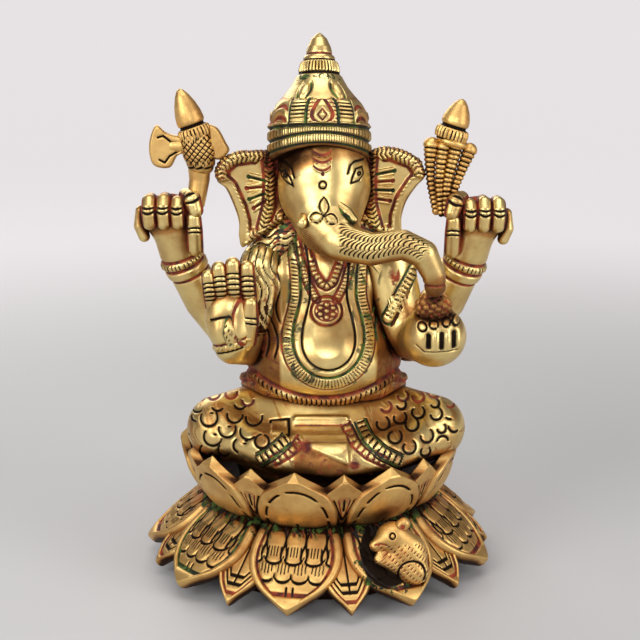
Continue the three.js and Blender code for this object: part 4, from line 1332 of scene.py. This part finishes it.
def crown_moons(s, az, h, radius):
    """Pairs of shallow bows between the ladders, each a parabola in the distance along the crown."""
    for mid_az in (-56, 56, -90, 90, -124, 124):
        for level in (17.0, 12.7):
            u, v = np.radians(az - mid_az) * radius, h - level
            moon = np.abs(v + 0.12 * u**2)
            s.cut(moon, 1.5, 0.5, "red", smooth(4.2, 3.4, np.abs(u)))
            s.raise_by(0.4, band(v + 0.12 * u**2, -2.8, -0.9, 0.3) * smooth(4.2, 3.4, np.abs(u)))


def crown():
    """A turned crown leaning back, with ribbed bands, ladders, buds, a jewelled drop and a fluted top."""
    tip = (CROWN_TOP - CROWN_AT[2]) / math.cos(LEAN) - 0.1
    place = np.eye(4)
    place[:3, 1] = (0, math.cos(LEAN), -math.sin(LEAN))
    place[:3, 2] = (0, math.sin(LEAN), math.cos(LEAN))
    place[:3, 3] = CROWN_AT
    outline = [[0, -1], [17.8, -1], [18.4, 0], [18.7, 1.5], [18.7, 4], [18.6, 7], [18.4, 10], [18.1, 13],
               [17.4, 16], [15.7, 18.8], [13.0, 21.8], [10.6, 24.8], [9.0, 27.6], [8.0, 29.6], [7.5, 30.4],
               [7.1, 32.2], [6.5, 34.2], [6.0, 34.8], [5.7, 35.8], [5.2, 36.8], [4.9, 37.2], [4.3, 39.6],
               [2.9, 42.6], [1.3, tip - 0.7], [0.3, tip]]
    s = revolve(outline, 240, 280, place, focus=0.3)
    local = (s.points - CROWN_AT) @ place[:3, :3]
    radius, h = np.hypot(local[..., 0], local[..., 1]), local[..., 2]
    az = np.degrees(np.arctan2(local[..., 0], -local[..., 1])) - 3.5
    az = np.mod(az + 180, 360) - 180
    crown_bands(s, az, h, (radius > 3) * 1.0)
    crown_ladders(s, az, h, radius)
    crown_drops(s, az, h, radius)
    crown_moons(s, az, h, radius)
    s.paint("tarnish_and_shade", 0.6 * band(h, 10, 15, 1.5) * smooth(40, 50, np.abs(az)))
    s.paint("green", 0.9 * band(h, 26.6, 29.0, 0.5) * smooth(0.1, 0.5, mottle(s.points, 3.5)))
    s.cut(np.abs(h - 29.7), 1.3, 0.4, "black")
    flute = ribs(az, 10)
    s.raise_by(0.5, band(h, 30.2, 34.0, 0.3) * (flute - 0.5) * 1.2)
    s.paint("black", 0.9 * band(h, 30.4, 33.9, 0.2) * (flute < 0.18))
    s.cut(np.abs(h - 34.6), 0.6, 0.35, "black")
    s.cut(np.abs(h - 36.9), 0.8, 0.4, "red")
    s.paint("tarnish_and_shade", smooth(1.3, 0.9, h) * (radius > 15))
    facing = smooth(85, 0, np.abs(az))
    rise = (2.3 * facing - 0.8) * smooth(9, 5, h) + 1.7 * facing * smooth(1.6, -0.8, h)
    s.points = s.points + np.array([0, 0, 1.0]) * rise[..., None]
    make_piece("crown_turned", [s], POLISHED, "antique_brass", "crown")


# ---- arms and hands ----
AXE_ARM = [[-23, 7, 105, 8], [-32, 9, 86, 9], [-44, 5, 102, 8.3], [-52, 0, 119, 7.4], [-55, -3, 131, 7]]
NOOSE_ARM = [[26, 7, 105, 8], [35, 9, 86, 9], [48, 5, 102, 8.3], [55, 0, 118, 7.4], [58, -3, 130, 7]]
BALLS = 70  # sweets in the heap
GOLDEN_TURN = 2.39996  # radians from one sweet to the next


def digit(knots, lines=(), ink_sides=True):
    """One finger: round cones through its knots, with chased joint lines across and lacquered sides."""
    s = bar(knots, side=(0, -1, 0.01), rows=40, columns=44, cap=9, reach=9)
    span = s.along[-1]
    front = smooth(0.2, 0.5, -s.normal[..., 1])
    for place in lines:
        bow = 0.7 * (s.normal[..., 0] ** 2)
        s.cut(s.along[:, None] - place * span + bow, 0.65, 0.35, "black", front)
    if ink_sides:
        s.paint("red", smooth(0.66, 0.86, np.abs(s.normal[..., 0])))
    return s


def bracelet(s, place, width=2.4):
    """A beaded band with a lacquered line on each side, across a limb at place along it."""
    d = s.along[:, None] - place + 0 * s.x
    turn = np.degrees(s.turn)[None] + 0 * d
    s.raise_by(0.8, dome(d, width / 2) * (0.4 + 0.6 * ribs(turn, 12)))
    s.paint("black", 0.8 * smooth(width / 2, width / 3, np.abs(d)) * (ribs(turn, 12) < 0.15))
    s.cut(np.abs(np.abs(d) - width / 2 - 0.7), 1.2, 0.4, "red")
    s.raise_by(0.5, band(d, -width / 2 - 4.6, -width / 2 - 1.4, 0.4))
    s.cut(np.abs(d + width / 2 + 5.2), 1.1, 0.4, "red")


def rear_arm(name, node, knots, fist_at, sign):
    """An arm raised behind the shoulder; its fist, of five fingers and a heel, goes round a shaft."""
    x, z = fist_at
    palm = melt(3, limb(*knots[-2:]), egg([x - sign * 1.0, -3, z - 1], [11, 6.5, 8.5]))
    arm = skin(melt(2.5, limb(*knots[:2]), limb(*knots[1:]), palm), [k[:3] for k in knots], rows=190,
               columns=100, cap=8, reach=20)
    wrist = arm.along[-1]
    bracelet(arm, wrist - 12.2)
    arm.paint("tarnish_and_shade", 0.4 * smooth(0.2, 0.8, arm.normal[..., 1]))
    hand = skin(palm, [[x - 7, -3, z - 1], [x + 7, -3, z - 1]], side=(0, -1, 0), rows=70, columns=90, cap=14,
                reach=24)
    u, v = (hand.x - x) * sign, hand.z - z
    front = hand.front(-0.1, 0.2)
    hand.paint("red", 0.8 * smooth(-4.5, -2.5, v) * front)
    hand.cut(np.abs(v + 5.3), 0.8, 0.4, "green", front * band(u, -8, 5, 1))
    hand.cut(to_line(u, v, [(4.2, -5.3), (3.0, -9.5), (2.2, -14)]), 0.8, 0.4, "green", front)
    skins = [arm, hand]
    for d, top in ((-7.9, 8.0), (-2.6, 8.3), (2.6, 7.4)):
        c = x + sign * d
        skins.append(digit([[c, -3.5, z + top - 2.6, 2.5], [c, -9.5, z + top - 2.5, 2.7],
                            [c, -12.2, z + 2.5, 2.7], [c + 0.2 * sign, -11.6, z - 2.2, 2.5]], (0.66, 0.74)))
    c = x + sign * 8.2
    skins.append(digit([[c - sign * 2.6, -6, z + 7.0, 3.0], [c, -10.6, z + 6.4, 3.3],
                        [c + sign * 1.2, -11.4, z + 2.6, 2.9]], (0.4, 0.55, 0.7)))
    skins.append(digit([[c + sign * 0.6, -8.6, z - 12.0, 3.0], [c + sign * 0.6, -10.4, z - 5.0, 3.0],
                        [c + sign * 0.4, -10.6, z - 0.5, 2.8]], (0.62, 0.74)))
    skins.append(digit([[x - sign * 11.6, -4, z + 1.0, 2.2], [x - sign * 12.0, -4, z - 4.5, 2.6],
                        [x - sign * 10.8, -4, z - 8.5, 2.2]], (), False))
    make_piece(name, skins, POLISHED, "polished_brass", node)


def blessing_arm():
    """The near arm with its palm raised: four fingers, the thumb and the lines of the palm."""
    arm = skin(melt(2.5, limb([-21, -3, 117, 9.5], [-24, -8, 89, 8.5]),
                    limb([-24, -8, 88, 8.5], [-32, -22, 91, 7], [-32, -25, 98, 7.5])),
               [[-21, -3, 117], [-24, -8, 88], [-32, -22, 91], [-32, -25, 97]], rows=130, columns=110, cap=8,
               reach=20)
    cloth = smooth(92, 96, arm.z) * arm.front(-0.3, 0.1)
    scroll = np.mod(arm.x + 1.5 * np.sin(arm.z / 2.6) + arm.z * 0.25, 2.9) - 1.45
    arm.cut(scroll, 0.55, 0.35, "black", cloth)
    arm.paint("red", 0.5 * cloth * smooth(0.2, 0.7, mottle(arm.points, 4)))
    arm.paint("green", 0.5 * cloth * smooth(0.3, 0.7, mottle(arm.points, 5, 2.0)))
    palm = skin(melt(2.5, egg([-32.6, -25.5, 102.0], [9.2, 6.2, 11.5]),
                     limb([-32, -23, 92, 7.2], [-32, -25, 97, 7.6])), [[-32.4, -25, 95], [-32.4, -25, 104]],
                rows=76, columns=120, cap=16, reach=20, focus=0.3)
    x, z = palm.x, palm.z
    front = palm.front(0.0, 0.25)
    palm.raise_by(0.8, smooth(4.5, 0, np.hypot(x + 37, (z - 98.5) * 0.6)) * front)
    palm.cut(to_line(x, z, [(-39.4, 102.6), (-36, 103.6), (-32.6, 104.2)]), 0.9, 0.5, "black", front)
    palm.cut(to_line(x, z, [(-32.8, 103.2), (-33.6, 98), (-32.5, 94.6)]), 2.8, 1.1, "green", front)
    palm.cut(to_line(x, z, [(-32.3, 103.4), (-33.1, 98), (-32.0, 94.6)]), 1.6, 0.5, "black", front)
    palm.cut(np.abs(np.hypot(x + 26, (z - 102) * 0.6) - 5.4), 1.1, 0.4, "red", front * (x < -27))
    line = z - 92.6 - 0.30 * (x + 38)
    palm.cut(np.abs(line), 0.9, 0.45, "red", front)
    palm.cut(np.abs(line + 3.4), 0.9, 0.45, "black", front)
    palm.raise_by(0.7, band(line, -2.9, -0.6, 0.4) * ribs(x, 1.7) * front)
    skins = [arm, palm]
    for tip_x, tip_z, r, root in ((-40.2, 118.4, 2.5, 107), (-36.2, 121.2, 2.8, 108),
                                  (-31.2, 122.6, 2.9, 108), (-26.0, 121.4, 2.8, 108)):
        lean = 0.6 if tip_x < -35 else 0.2
        finger = digit([[tip_x + lean * 2, -25.5, root, r + 0.2],
                        [tip_x + lean, -28.0, (root + tip_z) / 2, r + 0.1],
                        [tip_x, -28.2, tip_z, r - 0.1]], (0.34, 0.46, 0.58, 0.70, 0.82))
        skins.append(finger)
    skins.append(digit([[-27.4, -25.0, 94.0, 4.4], [-25.6, -27.4, 101.5, 3.7], [-25.0, -28.4, 108.4, 2.7]],
                       (0.58, 0.7)))
    make_piece("blessing_arm", skins, POLISHED, "polished_brass", "front_right_arm")


def giving_arm():
    """The near arm that holds out sweets: its armlet, the cupped hand and four nails."""
    arm = skin(melt(2.5, limb([25.5, -3, 117, 10.5], [31.5, -9, 93, 9]),
                    limb([32, -9, 92, 8.5], [38, -20, 92, 8])),
               [[25.5, -3, 117], [32, -9, 92], [38, -20, 92]], rows=110, columns=120, cap=10, reach=20)
    x, z = arm.x, arm.z
    front = arm.front(-0.1, 0.2)
    away, at = along_line(x, z, [(36.5, 118.8), (31, 110.5), (25.2, 99.5)])
    arm.raise_by(0.8, smooth(1.9, 1.5, away) * (0.3 + 0.7 * ribs(at, 1.7)) * front)
    arm.paint("black", 0.9 * smooth(1.7, 1.4, away) * (ribs(at, 1.7) < 0.2) * front)
    arm.cut(np.abs(away - 2.2), 0.9, 0.45, "green", front)
    arm.paint("red", 0.8 * front * np.exp(-(((x - 28) / 3) ** 2 + ((z - 115) / 5) ** 2))
              * (0.6 + 0.6 * mottle(arm.points, 4)))
    arm.paint("green", 0.5 * front * smooth(25, 22, x) * smooth(0.0, 0.6, mottle(arm.points, 6, 2.0)))
    hand = skin(melt(2, egg([41.6, -27, 96], [11.8, 11.6, 11.4]), limb([36, -17, 92, 8], [38, -22, 93, 8])),
                [[37, -24, 95], [44, -27, 96]], side=(0, -1, 0), rows=96, columns=170, cap=24, reach=24,
                focus=0.3)
    x, z = hand.x, hand.z
    front = hand.front(0.0, 0.25)
    for slot_x, low, high in ((38.6, 93.6, 99.6), (43.6, 93.4, 100.2), (48.4, 93.6, 100.4)):
        hand.cut(np.hypot((x - slot_x), np.maximum(np.abs(z - (low + high) / 2) - (high - low) / 2 + 0.8,
                                                   0)), 2.0, 1.3, "black", front)
    hand.cut(to_line(x, z, [(34.4, 95), (37.4, 92.6), (50, 93.0)]), 0.7, 0.3, "black", front, 0.6)
    for nail_x, nail_z in ((36.6, 101.6), (40.6, 102.6), (45.2, 103.2), (49.0, 103.2)):
        hand.cut(np.abs(np.hypot(x - nail_x, z - nail_z) - 1.5), 0.7, 0.35, "black", front)
        hand.raise_by(0.5, smooth(1.6, 1.0, np.hypot(x - nail_x, z - nail_z)) * front)
    make_piece("giving_arm", [arm, hand], POLISHED, "polished_brass", "front_left_arm")
    sweet = skin(egg([41.0, -30.0, 107.4], [6.1, 5.6, 5.4]), [[41.0, -30.0, 105.4], [41.0, -30.0, 109]],
                 rows=50, columns=130, cap=26, reach=16)
    k = np.arange(BALLS)
    up = 1 - 2 * (k + 0.5) / BALLS
    spin = k * GOLDEN_TURN
    balls = np.stack([np.cos(spin) * np.sqrt(1 - up**2), np.sin(spin) * np.sqrt(1 - up**2), up], 1)
    d = unit(sweet.points - np.array([41.2, -30.5, 106]))
    nearest = np.arccos(np.clip(np.max(d @ balls.T, -1), -1, 1)) * 7.0
    sweet.raise_by(0.9, dome(nearest, 1.35))
    sweet.paint("red", 0.7 * smooth(1.2, 1.6, nearest))
    sweet.paint("tarnish_and_shade", 0.35 + 0 * nearest)
    make_piece("sweets_heap", [sweet], ANTIQUE, "antique_brass", "sweets")


# ---- axe, noose and mouse ----

def leaning(x, z, lean, y=-4.0):
    """The place of an upright turned piece whose top leans by lean millimetres in 12."""
    tilt = math.atan2(lean, 12)
    place = np.eye(4)
    place[:3, 0] = (math.cos(tilt), 0, -math.sin(tilt))
    place[:3, 2] = (math.sin(tilt), 0, math.cos(tilt))
    place[:3, 3] = (x, y, z)
    return place


def finial(x, z, lean, tall=13.2):
    """A pointed cap over a fluted collar."""
    s = revolve([[0, -6.5], [5.2, -6.5], [5.8, -5.2], [6.0, -3.4], [5.6, -1.4], [4.9, -0.7], [5.1, 0.2],
                 [5.2, 1.2], [4.9, 0.30 * tall], [4.0, 0.55 * tall], [2.6, 0.8 * tall], [1.2, 0.96 * tall],
                 [0.2, tall]], 90, 130, leaning(x, z, lean))
    inv = np.linalg.inv(leaning(x, z, lean))
    local = s.points @ inv[:3, :3].T + inv[:3, 3]
    az, h = np.degrees(np.arctan2(local[..., 0], -local[..., 1])), local[..., 2]
    rib = ribs(az, 15)
    s.raise_by(0.6, band(h, -5.6, -1.8, 0.3) * (rib - 0.4))
    s.paint("black", 0.9 * band(h, -5.4, -1.8, 0.2) * (rib < 0.2))
    s.cut(np.abs(h + 0.7), 1.0, 0.5, "black")
    s.cut(np.abs(h + 5.9), 0.7, 0.4, "black")
    return s


def plate(outline, y, thick, mid, lines=(), bevel=1.2, columns=200):
    """A flat plate cut to an outline: half of it is thick/2 times the dome of the way in from the edge."""
    t, rho, ahead, x, z, plump = outline_rings(outline, mid, columns, (44, 14), 0.03, bevel, 900)
    y = y - ahead * thick / 2 * plump
    points = np.stack([x, y, z], -1)
    s = Skin(points, points.mean(1), t, rho)
    s.normal = np.stack([0 * x, -ahead + 0 * x, 0 * x], -1)
    for line in lines:
        s.cut(to_line(x, z, line), 0.8, 0.4, "black", (ahead > 0) * 1.0)
    return s


def axe():
    """The axe: a pointed cap, a cross-hatched block, the blade and a shaft down into the fist."""
    block = skin(limb([-45.8, -4, 165, 6.0], [-44.4, -4, 160, 6.3], [-44.0, -4, 156.4, 5.4]),
                 [[-45.8, -4, 164], [-44.1, -4, 157]], rows=60, columns=110, cap=10, reach=10)
    u, v = block.x + 45 - (block.z - 162) * -0.2, block.z
    front = block.front(0.0, 0.2)
    hatch = np.minimum(np.abs(np.mod(u + v, 2.3) - 1.15), np.abs(np.mod(u - v, 2.3) - 1.15))
    block.cut(hatch, 0.55, 0.35, "black", band(v, 155.5, 167.5, 0.5) * front)
    block.cut(np.abs(v - 154.6), 0.8, 0.4, "black")
    side = plate([(-40.4, 170.4), (-37.4, 168.8), (-34.6, 163.8), (-33.4, 160.4), (-37.4, 157.2),
                  (-40.6, 160)], -4, 4.6, (-38.2, 163.8))
    blade = plate([(-49.4, 165.4), (-49.8, 160.2), (-52.6, 158.6), (-55.4, 154.4), (-60.4, 154.6),
                   (-62.6, 157.6), (-62.8, 163.8), (-60.2, 170.0), (-56.2, 167.2)], -4, 4.4, (-56.6, 161.4),
                  ([(-50.8, 163.4), (-54.6, 164.0), (-57.4, 166.2), (-59.4, 165.6)],
                   [(-52.0, 160.6), (-55.2, 158.8), (-57.0, 156.4), (-59.0, 157.4)]))
    neck = bar([[-54, -4, 162.3, 2.6], [-45, -4, 162.3, 3.2]], rows=20, columns=40, cap=8, reach=8)
    shaft = skin(limb([-44.6, -4, 157, 4.4], [-44.6, -4, 150, 3.8], [-46.0, -5, 141.5, 3.4]),
                 [[-44.6, -4, 157], [-46.0, -5, 141.5]], rows=40, columns=60, cap=8, reach=10)
    make_piece("axe_head_and_shaft", [finial(-47.2, 170.6, -4.0), block, side, blade, neck, shaft], ANTIQUE,
               "antique_brass", "axe")


def noose():
    """The noose: a pointed cap over a ring, and four roped strands round a core painted black as the shade
    between them, down into the fist.
    """
    ring = revolve([[0, -1.4], [5.0, -1.4], [5.9, -0.7], [6.0, 0.3], [5.4, 1.1], [0, 1.1]], 30, 100,
                   leaning(48.9, 163.8, 3.2))
    ring.paint("black", 0.8
               * smooth(5.2, 4.8, np.linalg.norm(ring.points - ring.points.reshape(-1, 3).mean(0), axis=-1)))
    skins = [finial(49.6, 170.2, 3.6, 9.6), ring]
    for knots in ([[41.2, -4, 162.5, 2.9], [40.8, -4.4, 156, 2.0], [41.2, -4.4, 148.4, 1.5],
                   [43.4, -4, 138, 1.4]],
                  [[45.4, -5.4, 162, 2.2], [44.6, -5.6, 156, 1.9], [44.1, -5.6, 148.4, 1.5],
                   [45.2, -5, 137, 1.2]],
                  [[50.0, -5.4, 162, 2.4], [48.6, -5.6, 156, 2.0], [47.0, -5.6, 148.4, 1.6],
                   [46.6, -5, 137, 1.2]],
                  [[55.2, -4, 160.6, 2.7], [53.4, -4.4, 156, 2.1], [50.6, -4.4, 148.4, 1.6],
                   [48.2, -4, 139, 1.3]]):
        s = bar(knots, rows=120, columns=44, cap=8, reach=8)
        rib = ribs(s.along[:, None] + 0 * s.x, 1.75)
        s.raise_by(0.45, rib - 0.5)
        s.paint("black", 0.9 * (rib < 0.2))
        skins.append(s)
    shade_core = skin(limb([48.2, -1.0, 162, 4.8], [46.2, -2.4, 148, 3.0], [45.8, -3.4, 138, 1.8]),
                [[48.4, -3.4, 161], [45.8, -3.4, 138]], rows=40, columns=60, cap=8, reach=10)
    # painted shade: the rod between the strands painted black all over
    shade_core.paint("black", np.ones(shade_core.x.shape))
    skins.append(shade_core)
    make_piece("noose_of_rope", skins, ANTIQUE, "antique_brass", "noose")


def mouse():
    """The small mouse that sits between two petals: ear, eye, whisker lines and strokes of fur."""
    field = melt(2.5, egg([31, -49.5, 20], [8, 6, 8.5]), egg([26.5, -49, 27.5], [5.8, 5, 4.8]),
                 egg([33.5, -52, 14.5], [6, 4.5, 5]), limb([24, -50.5, 26, 3.6], [19.8, -51.5, 24.5, 2]),
                 limb([27, -53, 17.5, 2.4], [21.5, -53.5, 20, 2]))
    s = skin(field, [[32, -50, 15], [30.5, -49.5, 21], [27, -49.2, 27]], side=(0, -1, 0), rows=130,
             columns=170, cap=26, reach=18, focus=0.3)
    x, z = s.x, s.z
    front = s.front(-0.1, 0.2)
    s.cut(np.abs(np.hypot(x - 26.0, z - 29.0) - 1.0), 0.6, 0.3, "black", front)
    s.raise_by(0.6, smooth(1.0, 0.4, np.hypot(x - 26.0, z - 29.0)) * front)
    s.cut(to_line(x, z, [(19.6, 25.4), (22.0, 26.0), (24.0, 25.6)]), 0.6, 0.3, "red", front)
    s.cut(np.abs(np.hypot(x - 33.0, z - 15.0) - 5.0), 0.8, 0.4, "black", front * (z > 12))
    fur = np.abs(np.mod(x * 0.8 - z * 0.7, 1.5) - 0.75)
    dash = smooth(0.3, 0.5, np.mod(x * 0.28 + z * 0.31, 1)) * smooth(1, 0.8, np.mod(x * 0.28 + z * 0.31, 1))
    s.cut(fur, 0.45, 0.25, "red", front * dash * smooth(26.5, 25, z), 0.9)
    ear = bar([[29.4, -50, 31.4, 2.4], [30.4, -49.4, 32.0, 2.2]], rows=12, columns=40, cap=12, reach=6)
    ear.raise_by(-0.7, smooth(1.8, 0.6, np.hypot(ear.x - 29.8, ear.z - 31.6)) * ear.front())
    ear.paint("red", 0.8 * smooth(1.4, 0.8, np.hypot(ear.x - 29.8, ear.z - 31.6)) * ear.front())
    make_piece("small_mouse", [s, ear], ANTIQUE, "antique_brass", "mouse")


# ---- all together ----

def lotus_body(p):
    """Roughly the lotus as one solid: a cone for the skirt, a dish and its leaning wall for the bowl."""
    r, z = np.hypot(p[..., 0], p[..., 1]), p[..., 2]
    skirt = np.maximum((r - 42) * 0.654 + (z - 26.8) * 0.755, r - 66)
    dish = np.maximum(np.maximum(r - 45, z - 32.2), 26 - z)
    wall = np.maximum(np.maximum(np.abs(r - 44.0 - 0.33 * (z - 30)) - 3, z - 47), 26 - z)
    return np.minimum(np.minimum(skirt, dish), wall)


def ear_disc(x):
    """An ear's hollow, roughly, as an upright disc 4 thick and 12 in radius round (x, 149)."""
    return lambda p: np.maximum(np.abs(p[..., 1] + 4) - 2, np.hypot(p[..., 0] - x, p[..., 2] - 149) - 12)


def solid(low, high, field):
    """A field with the box outside which it has no say."""
    return np.array(low, float), np.array(high, float), field


SOLIDS = [
    solid([-70, -70, 0], [70, 70, 52], lotus_body),
    solid([-34, -32, 58], [37, 32, 140], TORSO),
    solid([-54, -50, 30], [60, 36, 76], LEGS),
    solid([-18, -48, 108], [46, 12, 175], HEAD),
    solid([-40, -10, 122], [-10, 0, 164], ear_disc(-24)),
    solid([12, -10, 122], [42, 0, 164], ear_disc(27)),
    solid([-22, -26, 156], [22, 20, 180], limb([-0.2, -6, 158, 19.4], [-0.2, -3, 172, 17.0])),
    solid([-70, -18, 76], [-14, 20, 150], melt(2, limb(*AXE_ARM), egg([-56, -5, 137], [12, 8, 9]))),
    solid([18, -18, 76], [73, 20, 150], melt(2, limb(*NOOSE_ARM), egg([59, -5, 136], [12, 8, 9]))),
    solid([-46, -34, 78], [-14, 6, 126],
          melt(2, limb([-20, -5, 105, 8], [-24, -8, 88, 8.5], [-32, -22, 91, 7], [-32, -25, 98, 7.5]),
                                               egg([-32.4, -26, 106], [8.5, 4.5, 14]))),
    solid([18, -42, 82], [56, 6, 116], melt(2, limb([25, -5, 105, 9], [32, -9, 92, 8.5], [38, -20, 92, 8]),
                                            egg([41.6, -27, 96], [11.8, 11.6, 11.4]))),
    solid([32, -42, 98], [50, -22, 116], egg([41.2, -30.5, 106], [7.2, 6.8, 7.2])),
    solid([18, -58, 8], [42, -42, 36], limb([32, -50, 15, 5.5], [27, -49.2, 27, 5])),
]

make_camera()
make_stage()
lotus()
torso()
crossed_legs()
head_and_trunk()
tusks()
ears()
crown()
rear_arm("axe_arm", "rear_right_arm", AXE_ARM, (-55, 137), 1)
rear_arm("noose_arm", "rear_left_arm", NOOSE_ARM, (58, 136), -1)
blessing_arm()
giving_arm()
axe()
noose()
mouse()

STEEL = brass("plain_steel", COAT, (0.50, 0.50, 0.51), (0.30, 0.28, 0.26), 0.3, 0.32)
DULL = brass("dull_brass", COAT, (0.62, 0.44, 0.19), (0.36, 0.20, 0.07), 0.7, 0.36)
for node, finish in (("tie_stud", STEEL), ("hex_nut", STEEL), ("washer", DULL)):
    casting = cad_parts[node]
    for place in range(max(1, len(casting.material_slots))):
        if casting.material_slots:
            casting.material_slots[place].material = finish
        else:
            casting.data.materials.append(finish)

bpy.context.scene.view_settings.view_transform = "Standard"
